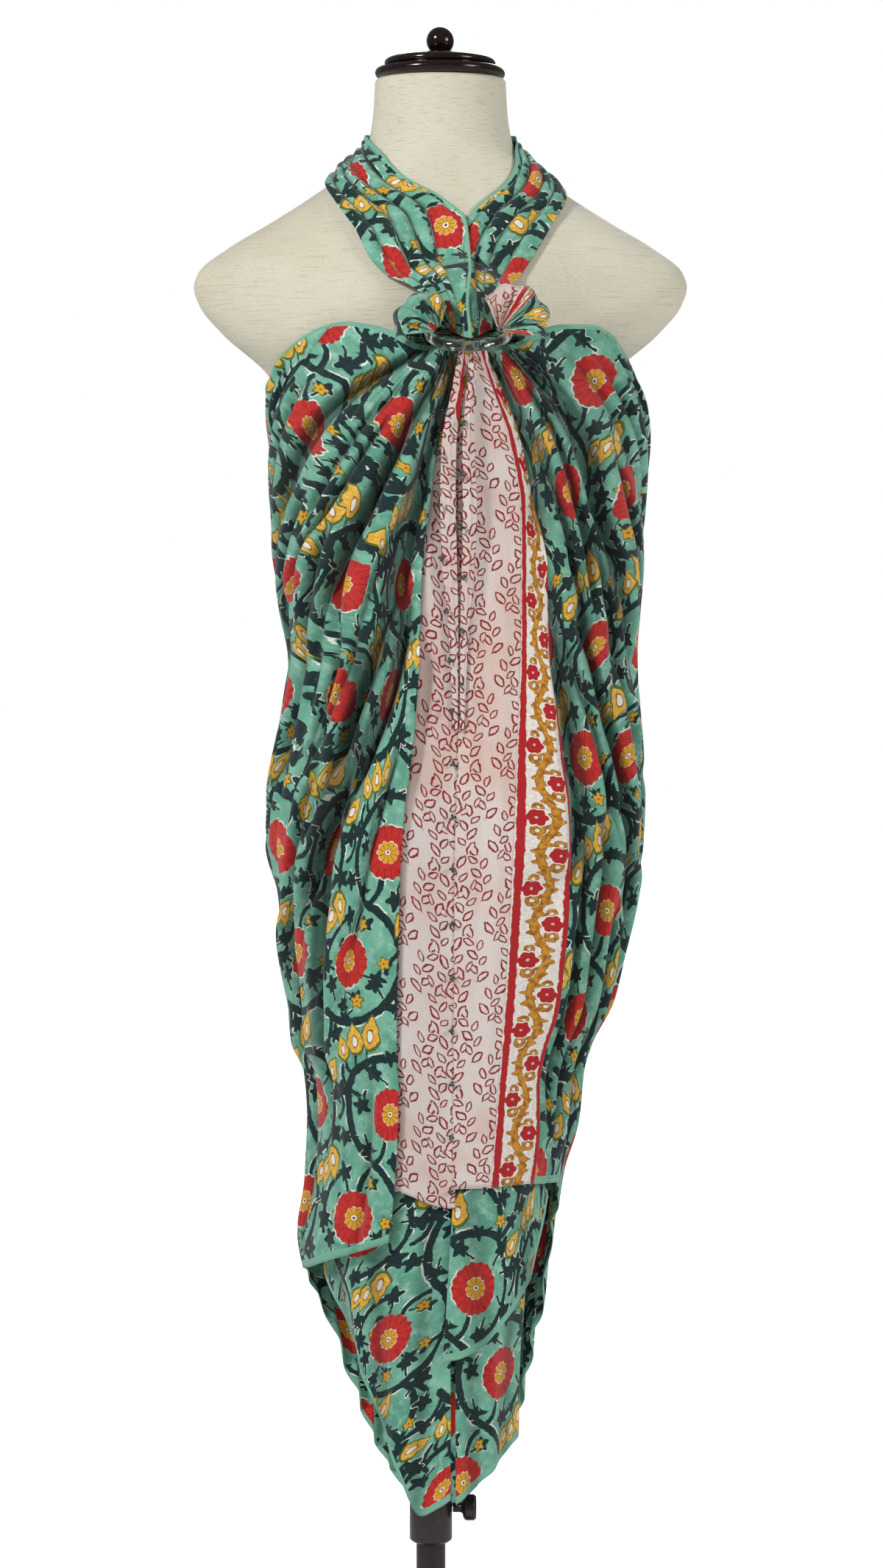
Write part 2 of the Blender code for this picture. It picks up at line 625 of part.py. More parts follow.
def build_panels():
    left = panel_rows(END_LEFT_ROWS, 5, 13)
    for point in left[-1]:
        point.z += 14.0 * smooth((8.0 - point.x) / 50.0) - 4.0
    sheet("end_panel_left", left, CLOTH_PINK)
    pink, border = [], []
    second = fold_columns(FOLDS_RIGHT, 0.0, RIGHT_SIDE_U)[1]
    for t in fall_steps(WRAP_ROWS):
        outer = wrap_point(WRAP_RIGHT_ROWS, FOLDS_RIGHT, 0.0, t)
        start = panel_edge(END_RIGHT_ROWS, "left_x", outer.z)
        middle = panel_edge(END_RIGHT_ROWS, "right_x", outer.z)
        pink.append([start.lerp(middle, s) for s in steps(0.0, 1.0, 4)])
        onward = (wrap_point(WRAP_RIGHT_ROWS, FOLDS_RIGHT, second, t) - outer).normalized()
        before = outer - onward * (outer - middle).length * 0.22
        border.append([middle, middle.lerp(before, 0.5), before, outer])
    sheet("end_panel_right", pink, CLOTH_PINK)
    sheet("border_right", trimmed(border, CORNER_SEAM, SEAM), CLOTH_BORDER)
    sheet("end_fold_left", panel_rows(FOLD_STRIP_LEFT_ROWS, 4, 10, 0.08), CLOTH_PINK)
    sheet("end_fold_right", panel_rows(FOLD_STRIP_RIGHT_ROWS, 4, 10, 0.08), CLOTH_PINK)


def tail_rows(rows, across, down, waves, depth):
    """An inner layer that hangs behind the front panels, set in from the wrapped cloth."""
    made = []
    for t in steps(0.0, 1.0, down):
        row = []
        for s in steps(0.0, 1.0, across):
            get = lambda name: table_value(TAIL_COLUMNS, rows, name, s)
            angle = get("top_angle") + (get("low_angle") - get("top_angle")) * t
            z = TAIL_TOP + (get("low_z") - TAIL_TOP) * t
            inset = get("top_inset") + (get("low_inset") - get("top_inset")) * t
            inset += depth * t * 0.5 * (1.0 - math.cos(2.0 * math.pi * waves * s))
            row.append(drape_point(angle, z) - drape_normal(angle, z) * inset)
        made.append(row)
    return made


def build_tails():
    sheet("tail_left", tail_rows(TAIL_LEFT_ROWS, 13, 9, 3, 5.0), CLOTH_GREEN)
    sheet("tail_right_upper", tail_rows(TAIL_RIGHT_UPPER_ROWS, 9, 6, 2, 1.2), CLOTH_GREEN)
    sheet("tail_right_lower", tail_rows(TAIL_RIGHT_LOWER_ROWS, 9, 8, 2, 4.0), CLOTH_GREEN)


def strap_rows(rows, side, across, along):
    """A gathered band: out of the ring, over the chest and round the neck, with long creases."""
    made = []
    for t in steps(0.0, 1.0, along):
        get = lambda name: table_value(STRAP_COLUMNS, rows, name, t)
        row = []
        for s in steps(0.0, 1.0, across):
            angle = get("inner_angle") + (get("outer_angle") - get("inner_angle")) * s
            z = get("inner_z") + (get("outer_z") - get("inner_z")) * s
            lift = get("lift")
            for place, height, width in STRAP_CREASES:
                lift += height * math.exp(-((s - place) / width) ** 2) * smooth(t / 0.3) * smooth((1.06 - t) / 0.25)
            on_form = form_point(angle, z) + form_normal(angle, z) * lift
            gather = RING_CENTRE + Vector((side * (2.0 + 21.9 * s), -11.0 * math.cos(math.pi * s), 0.0))
            gather.y -= 3.0
            gather.z += math.tan(math.radians(RING_TILT)) * (gather.y - RING_CENTRE.y) + 1.0
            back = gather.lerp(on_form, smooth((t - 0.03) / 0.2))
            back.z = gather.z + (on_form.z - gather.z) * smooth((t + 0.03) / 0.2)
            row.append(back)
        made.append(row)
    return made


def build_straps():
    sheet("strap_left", strap_rows(STRAP_LEFT_ROWS, -1.0, 15, 16), CLOTH_GREEN)
    sheet("strap_right", strap_rows(STRAP_RIGHT_ROWS, 1.0, 15, 16), CLOTH_GREEN)


PUFF_COLUMNS = ("share", "turn", "reach")
PUFF_LEFT_ROWS = (
    (0.00, 72.0, 21.0),
    (0.25, 92.0, 31.0),
    (0.50, 124.0, 35.0),
    (0.75, 156.0, 37.0),
    (1.00, 186.0, 33.0),
)
PUFF_RIGHT_ROWS = (
    (0.00, 112.0, 28.0),
    (0.25, 84.0, 37.0),
    (0.50, 54.0, 42.0),
    (0.75, 24.0, 42.0),
    (1.00, -8.0, 36.0),
)
PUFF_ROOT_LEFT = Vector((-1.6, -152.5, 1342.8))
PUFF_ROOT_RIGHT = Vector((45.6, -152.5, 1342.9))
PUFF_BULGE = 14.0
PUFF_PLEATS = 4.0
PUFF_CURL = 20.0


def puff_rows(rows, root, around=17, out=8):
    """Cloth that fans out from the ring, swells forward and curls back, with pleats that spread from the ring."""
    made = []
    for share in steps(0.0, 1.0, around):
        turn = math.radians(table_value(PUFF_COLUMNS, rows, "turn", share))
        reach = table_value(PUFF_COLUMNS, rows, "reach", share)
        pleat = math.cos(2.0 * math.pi * PUFF_PLEATS * share)
        row = []
        for t in steps(0.0, 1.0, out):
            along = 3.5 + (reach - 3.5) * math.sin(0.5 * math.pi * t) * (1.0 + 0.04 * pleat * t)
            swell = PUFF_BULGE * math.sin(math.pi * t ** 1.15) + 2.4 * pleat * math.sin(math.pi * t)
            point = root + Vector((along * math.cos(turn), -swell, along * math.sin(turn)))
            point.y += PUFF_CURL * t * t
            row.append(point)
        made.append(row)
    return made


def build_puffs():
    sheet("puff_left", puff_rows(PUFF_LEFT_ROWS, PUFF_ROOT_LEFT), CLOTH_GREEN)
    sheet("puff_right", puff_rows(PUFF_RIGHT_ROWS, PUFF_ROOT_RIGHT), CLOTH_PINK)


def build_neck_tie():
    centre = Vector((0.0, 75.0, 1497.0))
    rows = []
    for b in steps(-84.0, 84.0, 8):
        up = math.radians(b)
        row = []
        for a in steps(0.0, 330.0, 12):
            turn = math.radians(a)
            rib = 1.0 + 0.07 * math.sin(3.0 * turn + 2.2 * up)
            x = 22.0 * math.cos(turn) * math.cos(up) ** 0.7 * rib
            y = 13.5 * math.sin(turn) * math.cos(up) ** 0.8 * rib
            row.append(centre + Vector((x, y, 17.0 * math.sin(up))))
        rows.append(row)
    knot = new_object("neck_knot", grid_mesh("neck_knot", rows, closed=True), CLOTH_GREEN, 0.85)
    knot.location.x = FORM_X * MM
    for name, side, drop in (("tie_end_left", -1.0, 74.0), ("tie_end_right", 1.0, 62.0)):
        made = []
        for t in steps(0.0, 1.0, 6):
            row = []
            for s in steps(-1.0, 1.0, 7):
                half = 7.0 + 17.0 * smooth(t * 1.2)
                x = side * (15.0 + 15.0 * t) + half * s
                z = 1480.4 - drop * t - 10.0 * t * side * s
                y = 77.0 + 18.0 * smooth(t * 1.3) + 2.5 * math.cos(3.0 * math.pi * s) * smooth(t * 2.0)
                row.append(Vector((x, y, z)))
            made.append(row)
        sheet(name, made, CLOTH_PINK)


for old in list(bpy.data.objects):
    bpy.data.objects.remove(old)
PARTS = bpy.data.collections.new("halter_sarong_on_form")
bpy.context.scene.collection.children.link(PARTS)

build_stand()
build_form()
build_cap()
build_ring()
build_wrap()
build_panels()
build_tails()
build_straps()
build_puffs()
build_neck_tie()
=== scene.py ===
"""Looks of the halter sarong on its dress form: printed cloth, ring, beads, form and stand.

Forms are worked out in millimetres from the form's axis, and become metres when a mesh is made.
"""

import math
from collections import namedtuple

import bmesh
import bpy
import numpy as np
from mathutils import Matrix, Vector


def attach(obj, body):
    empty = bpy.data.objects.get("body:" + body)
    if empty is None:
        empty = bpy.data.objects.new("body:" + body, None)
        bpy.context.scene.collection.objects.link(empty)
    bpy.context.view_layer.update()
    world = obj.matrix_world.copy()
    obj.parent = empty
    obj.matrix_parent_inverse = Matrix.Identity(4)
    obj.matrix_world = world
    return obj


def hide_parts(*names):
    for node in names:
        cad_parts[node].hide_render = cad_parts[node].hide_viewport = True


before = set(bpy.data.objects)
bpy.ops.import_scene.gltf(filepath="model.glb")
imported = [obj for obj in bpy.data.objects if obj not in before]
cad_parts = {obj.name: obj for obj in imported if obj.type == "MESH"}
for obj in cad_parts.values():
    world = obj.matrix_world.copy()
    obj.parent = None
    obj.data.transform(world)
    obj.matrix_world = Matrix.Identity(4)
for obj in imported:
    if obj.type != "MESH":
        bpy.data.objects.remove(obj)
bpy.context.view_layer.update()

MM = 0.001
FORM_X = 8.0
CLOTH_WALL = 0.7
FINE = 1.0


def named(columns, rows):
    """Rows of a table, each value under the name of its column."""
    row_type = namedtuple("Row", columns)
    return [row_type(*row) for row in rows]


# Main forms, the same sizes as the solids
FORM_TOP = 1557.0
FORM_FOOT = 800.0
SEAM = 0.3
FORM_COLUMNS = ("z", "half_width", "front", "back", "power")
FORM_ROWS = named(FORM_COLUMNS, (
    (800, 110, 92, 96, 2.2),
    (850, 119, 100, 107, 2.2),
    (920, 126, 104, 112, 2.2),
    (1000, 119, 98, 99, 2.2),
    (1060, 110, 84, 80, 2.2),
    (1160, 116, 95, 84, 2.2),
    (1230, 125, 112, 88, 2.1),
    (1270, 131, 108, 91, 2.1),
    (1310, 139, 98, 92, 2),
    (1350, 180, 92, 90, 1.8),
    (1372, 198, 88, 88, 1.7),
    (1388, 203, 85, 86, 1.65),
    (1400, 199, 82, 84, 1.65),
    (1420, 174, 74, 80, 1.7),
    (1440, 140, 64, 74, 1.8),
    (1460, 108, 57, 68, 1.9),
    (1480, 80, 53, 62, 2),
    (1500, 61, 51, 56, 2),
    (1530, 55, 50, 53, 2),
    (1557, 53.5, 50, 52, 2),
))
DRAPE_COLUMNS = ("z", "left", "right", "front", "back", "power")
DRAPE_ROWS = named(DRAPE_COLUMNS, (
    (330, 84, 79, 92, 76, 2.3),
    (400, 86, 79, 94, 80, 2.3),
    (450, 88, 80, 96, 82, 2.3),
    (500, 94, 82, 99, 85, 2.3),
    (550, 106, 88, 103, 88, 2.3),
    (600, 113, 92, 106, 92, 2.3),
    (650, 104, 97, 109, 96, 2.3),
    (700, 101, 107, 112, 100, 2.3),
    (740, 104, 109, 115, 103, 2.3),
    (765, 115, 116, 117, 106, 2.3),
    (800, 119, 134, 119, 110, 2.3),
    (850, 127, 146, 123, 118, 2.3),
    (890, 131, 155, 125, 122, 2.3),
    (930, 137, 162, 126, 124, 2.3),
    (970, 134, 163, 125, 120, 2.3),
    (1010, 127, 162, 122, 112, 2.2),
    (1045, 121, 159, 120, 104, 2.2),
    (1085, 116, 156, 119, 99, 2.2),
    (1120, 121, 158, 120, 97, 2.2),
    (1170, 128, 161, 123, 97, 2.2),
    (1215, 130, 161, 127, 99, 2.1),
    (1260, 136, 162, 124, 100, 2.1),
    (1300, 145, 161, 114, 100, 2),
    (1330, 150, 158, 107, 98, 1.9),
    (1360, 162, 160, 103, 96, 1.9),
))
RING_CENTRE = Vector((22.0, -139.0, 1342.0))
RING_RADIUS = 30.6
RING_BAR = 4.2
RING_TILT = 22.0
WRAP_COLUMNS = ("u", "top_x", "top_y", "top_z", "hip_angle", "hem_angle", "hem_z")
WRAP_LEFT_ROWS = named(WRAP_COLUMNS, (
    (0, 12, -153.5, 1331, -6.5, -19, 613),
    (0.1, 4.5, -149.5, 1332.5, -20, -32, 604),
    (0.2, -1, -141, 1333, -37, -48, 594),
    (0.3, -7, -132, 1333, -57, -70, 581),
    (0.38, -18, -123, 1335, -80, -90, 572),
    (0.46, -34, -114, 1344, -99, -105, 545),
    (0.54, -54, -106, 1351, -112, -118, 498),
    (0.62, -78, -96, 1354, -122, -130, 452),
    (0.7, -108, -78, 1345, -132, -140, 418),
    (0.78, -136, -48, 1318, -143, -150, 392),
    (0.86, -143, 0, 1300, -152, -160, 368),
    (0.93, -104, 69, 1291, -165, -170, 352),
    (0.965, -54, 89, 1288, -172, -175, 347),
    (1, 0, 93.7, 1286, -180, -180, 345),
))
WRAP_RIGHT_ROWS = named(WRAP_COLUMNS, (
    (0, 35, -151.5, 1331.5, 32, 47, 657),
    (0.12, 41, -146, 1332, 44, 57, 655),
    (0.24, 46, -137, 1333, 58, 70, 652),
    (0.34, 55, -128, 1334, 76, 84, 640),
    (0.44, 72, -117, 1343, 92, 96, 600),
    (0.54, 94, -106, 1351, 106, 108, 525),
    (0.64, 122, -88, 1352, 120, 120, 465),
    (0.73, 148, -56, 1333, 133, 133, 425),
    (0.81, 159, -12, 1302, 145, 146, 396),
    (0.88, 128, 55, 1292, 156, 158, 370),
    (0.94, 76, 86, 1288, 168, 169, 353),
    (0.97, 40, 92, 1287, 174, 174.5, 347),
    (1, 0, 93.7, 1286, 180, 180, 345),
))
HIP_AT = 0.35
TENT_END = 0.24
LEFT_SIDE_U = 0.6404
RIGHT_SIDE_U = 0.6608
FOLD_COLUMNS = ("edge", "depth", "lean", "hem_share")
FOLDS_LEFT = named(FOLD_COLUMNS, (
    (0, 4, 0.46, 0.5),
    (0.052, 7, 0.55, 0.3),
    (0.108, 6, 0.42, 0.2),
    (0.16, 10, 0.58, 0.3),
    (0.222, 9, 0.44, 0.3),
    (0.282, 11, 0.56, 0.5),
    (0.345, 9, 0.45, 0.8),
    (0.402, 11, 0.55, 0.8),
    (0.47, 9, 0.45, 0.8),
    (0.54, 10, 0.52, 0.9),
    (0.62, 7, 0.48, 1),
    (0.705, 9, 0.55, 1),
    (0.79, 8, 0.45, 1.1),
    (0.87, 9, 0.5, 1.2),
    (0.935, 7, 0.5, 1.2),
    (1, 0, 0.5, 1),
))
FOLDS_RIGHT = named(FOLD_COLUMNS, (
    (-0.03, 5, 0.55, 0.7),
    (0.07, 9, 0.56, 0.6),
    (0.142, 7, 0.42, 0.5),
    (0.21, 11, 0.57, 0.6),
    (0.285, 8, 0.45, 0.6),
    (0.355, 11, 0.55, 0.7),
    (0.425, 8, 0.44, 0.8),
    (0.5, 10, 0.54, 0.8),
    (0.57, 7, 0.46, 0.9),
    (0.64, 8, 0.52, 1),
    (0.72, 9, 0.55, 1),
    (0.8, 8, 0.45, 1.1),
    (0.88, 9, 0.5, 1.2),
    (0.94, 7, 0.5, 1.2),
    (1, 0, 0.5, 1),
))
PANEL_COLUMNS = ("z", "left_x", "right_x", "inset")
END_LEFT_ROWS = named(PANEL_COLUMNS, (
    (645, -52, 8.6, 5),
    (800, -47, 9.6, 5),
    (925, -45, 10.2, 5),
    (1030, -33, 13, 5),
    (1110, -26, 12.4, 5),
    (1200, -14, 12.6, 1.5),
    (1260, -2, 14, -16),
    (1300, 10, 16.6, -37),
    (1330, 13.6, 20.6, -50),
))
END_RIGHT_ROWS = named(PANEL_COLUMNS, (
    (655, 9.8, 40.5, 4.2),
    (800, 10.8, 51, 3.8),
    (925, 11.4, 58, 3.6),
    (1030, 14.2, 62, 3.6),
    (1110, 13.6, 64.5, 3),
    (1200, 13.8, 64, -1),
    (1260, 15.2, 54, -17.5),
    (1300, 18.4, 40, -37),
    (1330, 21.8, 30, -50),
))
FOLD_STRIP_LEFT_ROWS = named(PANEL_COLUMNS, (
    (1028, 10.2, 13.6, 2.6),
    (1072, 8.6, 14, 1.6),
    (1117, 6, 14.2, 0.4),
    (1162, 1.4, 13.2, -2),
    (1213, 0, 12, -8),
    (1254, 1, 12.5, -19.5),
    (1298, 9, 17.4, -41),
    (1326, 14, 19.4, -52.5),
))
FOLD_STRIP_RIGHT_ROWS = named(PANEL_COLUMNS, (
    (1028, 15.6, 18.6, 1.4),
    (1072, 15.8, 20.6, 0.6),
    (1117, 16, 23.4, -0.6),
    (1162, 17, 27.2, -3),
    (1203, 17.8, 29, -7),
    (1245, 17.2, 27, -17),
    (1285, 19.4, 26, -35),
    (1318, 22, 29, -49.5),
))
TAIL_COLUMNS = ("s", "top_angle", "low_angle", "low_z", "top_inset", "low_inset")
TAIL_TOP = 700.0
TAIL_LEFT_ROWS = named(TAIL_COLUMNS, (
    (0, -58, -68, 574, 8.5, 8.5),
    (0.2, -43, -55, 530, 7.8, 9),
    (0.45, -24, -43.5, 476, 7.2, 10),
    (0.65, -12, -27, 426, 7.2, 11),
    (0.85, -3, -10, 381, 7.4, 12),
    (1, 4, 5, 396, 9.8, 12),
))
TAIL_RIGHT_UPPER_ROWS = named(TAIL_COLUMNS, (
    (0, 6, 0.8, 512, 6.4, 6.6),
    (0.3, 15.5, 21.7, 526, 8.6, 8.6),
    (0.55, 27, 38.2, 550, 9, 9),
    (0.78, 41, 56.2, 578, 9, 9),
    (1, 55, 70, 640, 9, 9),
))
TAIL_RIGHT_LOWER_ROWS = named(TAIL_COLUMNS, (
    (0, 6.5, 7.9, 392, 10.2, 11.4),
    (0.3, 15, 22.3, 404, 11.2, 12),
    (0.6, 28, 42.3, 420, 11.5, 12.2),
    (0.82, 40, 63.9, 431, 12.5, 12.5),
    (1, 50, 78, 438, 13, 12.5),
))
STRAP_COLUMNS = ("t", "inner_angle", "inner_z", "outer_angle", "outer_z", "lift")
STRAP_LEFT_ROWS = named(STRAP_COLUMNS, (
    (0, 5.5, 1352, -3, 1352, 2.6),
    (0.14, 5, 1394, -12.5, 1380, 2.6),
    (0.3, 5, 1424, -20, 1402, 2.4),
    (0.44, 3, 1450, -28, 1428, 2.4),
    (0.58, -20, 1474, -50, 1456, 2.6),
    (0.7, -46, 1494, -84, 1472, 3),
    (0.82, -88, 1511, -118, 1478, 4),
    (0.92, -130, 1514, -148, 1482, 4.2),
    (1, -171, 1511, -172, 1486, 3.6),
))
STRAP_RIGHT_ROWS = named(STRAP_COLUMNS, (
    (0, 7.5, 1352, 16, 1352, 2.6),
    (0.14, 6, 1394, 20, 1378, 2.6),
    (0.3, 6.6, 1420, 26, 1404, 2.4),
    (0.44, 14, 1446, 38, 1432, 2.4),
    (0.58, 40, 1474, 60, 1454, 2.6),
    (0.7, 66, 1494, 92, 1470, 3),
    (0.82, 96, 1511, 122, 1477, 4),
    (0.92, 132, 1514, 150, 1482, 4.2),
    (1, 171, 1511, 172, 1486, 3.6),
))
PUFF_COLUMNS = ("share", "turn", "reach")
PUFF_LEFT_ROWS = named(PUFF_COLUMNS, (
    (0, 72, 21),
    (0.25, 92, 31),
    (0.5, 124, 35),
    (0.75, 156, 37),
    (1, 186, 33),
))
PUFF_RIGHT_ROWS = named(PUFF_COLUMNS, (
    (0, 112, 28),
    (0.25, 84, 37),
    (0.5, 54, 42),
    (0.75, 24, 42),
    (1, -8, 36),
))
PUFF_ROOT_LEFT = Vector((-1.6, -152.5, 1342.8))
PUFF_ROOT_RIGHT = Vector((45.6, -152.5, 1342.9))
PUFF_BULGE = 14.0
PUFF_PLEATS = 4.0
PUFF_CURL = 20.0

# Creases that only show here. Each runs down the cloth through three places across it; its steep side faces
# inward, or outward where the width is negative
CREASE_COLUMNS = ("t_from", "t_to", "u_from", "u_mid", "u_to", "width", "height")
CREASES_LEFT = named(CREASE_COLUMNS, (
    (0, 0.28, 0.4, 0.49, 0.47, 26, 9),
    (0, 0.32, 0.175, 0.226, 0.29, 24, 9),
    (0, 0.36, 0.07, 0.107, 0.14, 20, 8),
    (0.01, 0.22, 0.012, 0.02, 0.012, 10, 3),
    (0.12, 0.3, 0.08, 0.118, 0.185, 14, 5),
    (0.03, 0.24, 0.3, 0.345, 0.36, 18, 4),
    (0.05, 0.22, 0.6, 0.56, 0.53, 20, 4),
    (0.18, 0.52, 0.285, 0.35, 0.355, 18, 6),
    (0.24, 0.56, 0.42, 0.44, 0.43, 20, 6),
    (0.31, 0.48, 0.225, 0.258, 0.3, 13, 5),
    (0.2, 0.57, 0.072, 0.168, 0.3, 18, 8.5),
    (0.26, 0.63, 0.078, 0.14, 0.31, 18, 8.5),
    (0.32, 0.88, 0.075, 0.155, 0.265, -30, 8),
    (0.5, 0.63, 0.15, 0.225, 0.31, 12, 4),
    (0.6, 1.04, 0.33, 0.36, 0.385, 20, 5),
    (0.64, 1.04, 0.43, 0.45, 0.48, 22, 6),
    (0.52, 1.02, 0.52, 0.54, 0.56, 22, 6),
    (0.28, 0.92, 0.6, 0.61, 0.62, 22, 5),
    (0.8, 1.05, 0.06, 0.075, 0.085, -16, 2),
    (0.13, 0.47, 0.045, 0.118, 0.245, 11, 5.5),
    (0.21, 0.52, 0.118, 0.205, 0.335, 10, 5),
    (0.29, 0.62, 0.055, 0.12, 0.232, 9, 4.5),
    (0.37, 0.68, 0.112, 0.195, 0.33, 11, 5.5),
    (0.43, 0.74, 0.055, 0.105, 0.19, 10, 4),
    (0.09, 0.36, 0.155, 0.235, 0.345, 11, 5.5),
    (0.07, 0.31, 0.245, 0.325, 0.425, 12, 5.5),
    (0.15, 0.42, 0.385, 0.435, 0.505, 14, 6),
    (0.38, 0.61, 0.335, 0.395, 0.47, 12, 5.5),
    (0.45, 0.73, 0.245, 0.305, 0.385, 12, 5.5),
    (0.52, 0.9, 0.195, 0.24, 0.3, 14, 5),
    (0.2, 0.55, 0.48, 0.51, 0.56, 14, 6),
))
CREASES_RIGHT = named(CREASE_COLUMNS, (
    (0, 0.38, 0.365, 0.285, 0.31, 26, 8),
    (0, 0.2, 0.42, 0.34, 0.28, 20, 5),
    (0, 0.3, 0.17, 0.065, 0.045, 22, 8),
    (0.18, 0.4, 0.265, 0.3, 0.38, 18, 5),
    (0.3, 0.64, 0.14, 0.23, 0.31, 20, 6),
    (0.26, 0.68, 0.035, 0.092, 0.095, 18, 5),
    (0.36, 0.72, 0.045, 0.06, 0.01, 14, 4),
    (0.55, 1.04, 0.17, 0.2, 0.22, 20, 5),
    (0.6, 1.04, 0.3, 0.33, 0.35, 22, 6),
    (0.48, 1.02, 0.42, 0.44, 0.45, 22, 6),
    (0.4, 0.98, 0.53, 0.54, 0.55, 22, 6),
    (0.02, 0.2, 0.52, 0.5, 0.47, 18, 3),
    (0.04, 0.28, 0.6, 0.585, 0.575, 20, 4),
    (0.04, 0.36, 0.235, 0.18, 0.195, 14, 6),
    (0.09, 0.46, 0.105, 0.13, 0.205, 12, 5.5),
    (0.2, 0.54, 0.195, 0.265, 0.385, 12, 5.5),
    (0.34, 0.62, 0.075, 0.15, 0.245, 11, 5.5),
    (0.42, 0.74, 0.195, 0.26, 0.335, 12, 5.5),
    (0.12, 0.44, 0.395, 0.43, 0.485, 16, 6),
    (0.58, 0.98, 0.085, 0.108, 0.12, 12, 4.5),
    (0.66, 1.02, 0.245, 0.262, 0.275, 13, 5),
))
CREASES_BACK = named(CREASE_COLUMNS, (
    (0.03, 0.44, 0.69, 0.7, 0.705, 18, 3),
    (0.1, 0.7, 0.76, 0.745, 0.75, -22, 4),
    (0.03, 0.52, 0.83, 0.845, 0.84, 20, 4),
    (0.3, 0.96, 0.885, 0.895, 0.9, 22, 5),
    (0.06, 0.6, 0.95, 0.94, 0.945, -20, 4),
    (0.48, 1.04, 0.72, 0.735, 0.74, 22, 5),
    (0.52, 1.04, 0.805, 0.82, 0.825, 24, 5),
    (0.55, 1.04, 0.965, 0.968, 0.972, 22, 4),
))
# How far folds stand out at most in front, how much less that is at the sides, and how far a valley goes in
RISE_FRONT = 17.0
RISE_LESS_LEFT = 5.0
RISE_LESS_RIGHT = 9.0
LOWEST_RISE = -3.5
PRINT_STRETCH = 1.06
GATHER_PITCH = 0.026
STRAP_CREASE_COLUMNS = ("across", "height", "width", "drift")
STRAP_CREASES_LEFT = named(STRAP_CREASE_COLUMNS, (
    (0.13, 1.2, 0.1, 0.06),
    (0.38, 3.4, 0.17, -0.05),
    (0.57, 4.4, 0.14, 0.04),
    (0.75, 3.6, 0.14, -0.06),
    (0.92, 3.2, 0.12, 0.02),
))
STRAP_CREASES_RIGHT = named(STRAP_CREASE_COLUMNS, (
    (0.16, 2.6, 0.12, 0.05),
    (0.39, 4.2, 0.17, -0.06),
    (0.61, 3.6, 0.15, 0.06),
    (0.84, 3.4, 0.14, -0.02),
))


def curve_through(rows, name):
    """Keys, values and tangents of one named column, for a smooth curve that doesn't overshoot."""
    keys = np.array([row[0] for row in rows], float)
    values = np.array([getattr(row, name) for row in rows], float)
    gaps = np.diff(keys)
    slopes = np.diff(values) / gaps
    tangents = [slopes[0]]
    for i in range(1, len(slopes)):
        before, after = slopes[i - 1], slopes[i]
        if before * after <= 0.0:
            tangents.append(0.0)
        else:
            w1 = 2.0 * gaps[i] + gaps[i - 1]
            w2 = gaps[i] + 2.0 * gaps[i - 1]
            tangents.append((w1 + w2) / (w1 / before + w2 / after))
    tangents.append(slopes[-1])
    return keys, values, np.array(tangents)


CURVES = {}


def table(rows, name, at):
    """Reads one named column at places between the rows."""
    if (id(rows), name) not in CURVES:
        CURVES[id(rows), name] = curve_through(rows, name)
    keys, values, tangents = CURVES[id(rows), name]
    at = np.clip(np.asarray(at, float), keys[0], keys[-1])
    i = np.clip(np.searchsorted(keys, at, side="right") - 1, 0, len(keys) - 2)
    gap = keys[i + 1] - keys[i]
    s = (at - keys[i]) / gap
    rise = (1.0 + 2.0 * s) * (1.0 - s) ** 2 * values[i] + s * s * (3.0 - 2.0 * s) * values[i + 1]
    lean = s * (1.0 - s) ** 2 * tangents[i] + s * s * (s - 1.0) * tangents[i + 1]
    return rise + lean * gap


def smooth(x):
    """Rises softly from 0 to 1 as x does."""
    x = np.clip(x, 0.0, 1.0)
    return x * x * (3.0 - 2.0 * x)


def signed_power(value, power):
    """A power of the size, with the sign kept."""
    return np.copysign(np.abs(value) ** power, value)


def stack(x, y, z):
    return np.stack(np.broadcast_arrays(x, y, z), axis=-1).astype(float)


def unit(vectors):
    return vectors / np.maximum(np.linalg.norm(vectors, axis=-1, keepdims=True), 1e-9)


def section_point(angle, z, sides, depths, power):
    """Points on a level, squared ellipse: angle 0 is the front, 90 the right, 180 the back."""
    turn = np.radians(angle)
    side = np.where(np.sin(turn) < 0.0, sides[0], sides[1])
    depth = np.where(np.cos(turn) > 0.0, depths[0], depths[1])
    power = 2.0 / power
    return stack(side * signed_power(np.sin(turn), power), -depth * signed_power(np.cos(turn), power), z)


def form_point(angle, z, lift=0.0):
    """Points on the form, lifted off it."""
    half_width, front, back = [table(FORM_ROWS, name, z) + lift for name in ("half_width", "front", "back")]
    return section_point(angle, z, (half_width, half_width), (front, back), table(FORM_ROWS, "power", z))


def form_normal(angle, z):
    along = form_point(angle + 1.0, z) - form_point(angle - 1.0, z)
    up = form_point(angle, z + 2.0) - form_point(angle, z - 2.0)
    return unit(np.cross(along, up))


def drape_point(angle, z):
    """Points on the mean surface of the wrapped cloth."""
    left, right, front, back, power = [table(DRAPE_ROWS, name, z) for name in DRAPE_COLUMNS[1:]]
    return section_point(angle, z, (left, right), (front, back), power)


def drape_normal(angle, z):
    along = drape_point(angle + 1.0, z) - drape_point(angle - 1.0, z)
    return unit(stack(along[..., 1], -along[..., 0], 0.0 * along[..., 2]))


def drape_angle(x, y, z):
    """The angle at which the mean surface comes nearest to a point."""
    angles = np.arange(-180.0, 180.01, 0.05)
    gaps = np.linalg.norm(drape_point(angles, np.full(angles.shape, z)) - np.array((x, y, z)), axis=-1)
    return float(angles[int(np.argmin(gaps))])


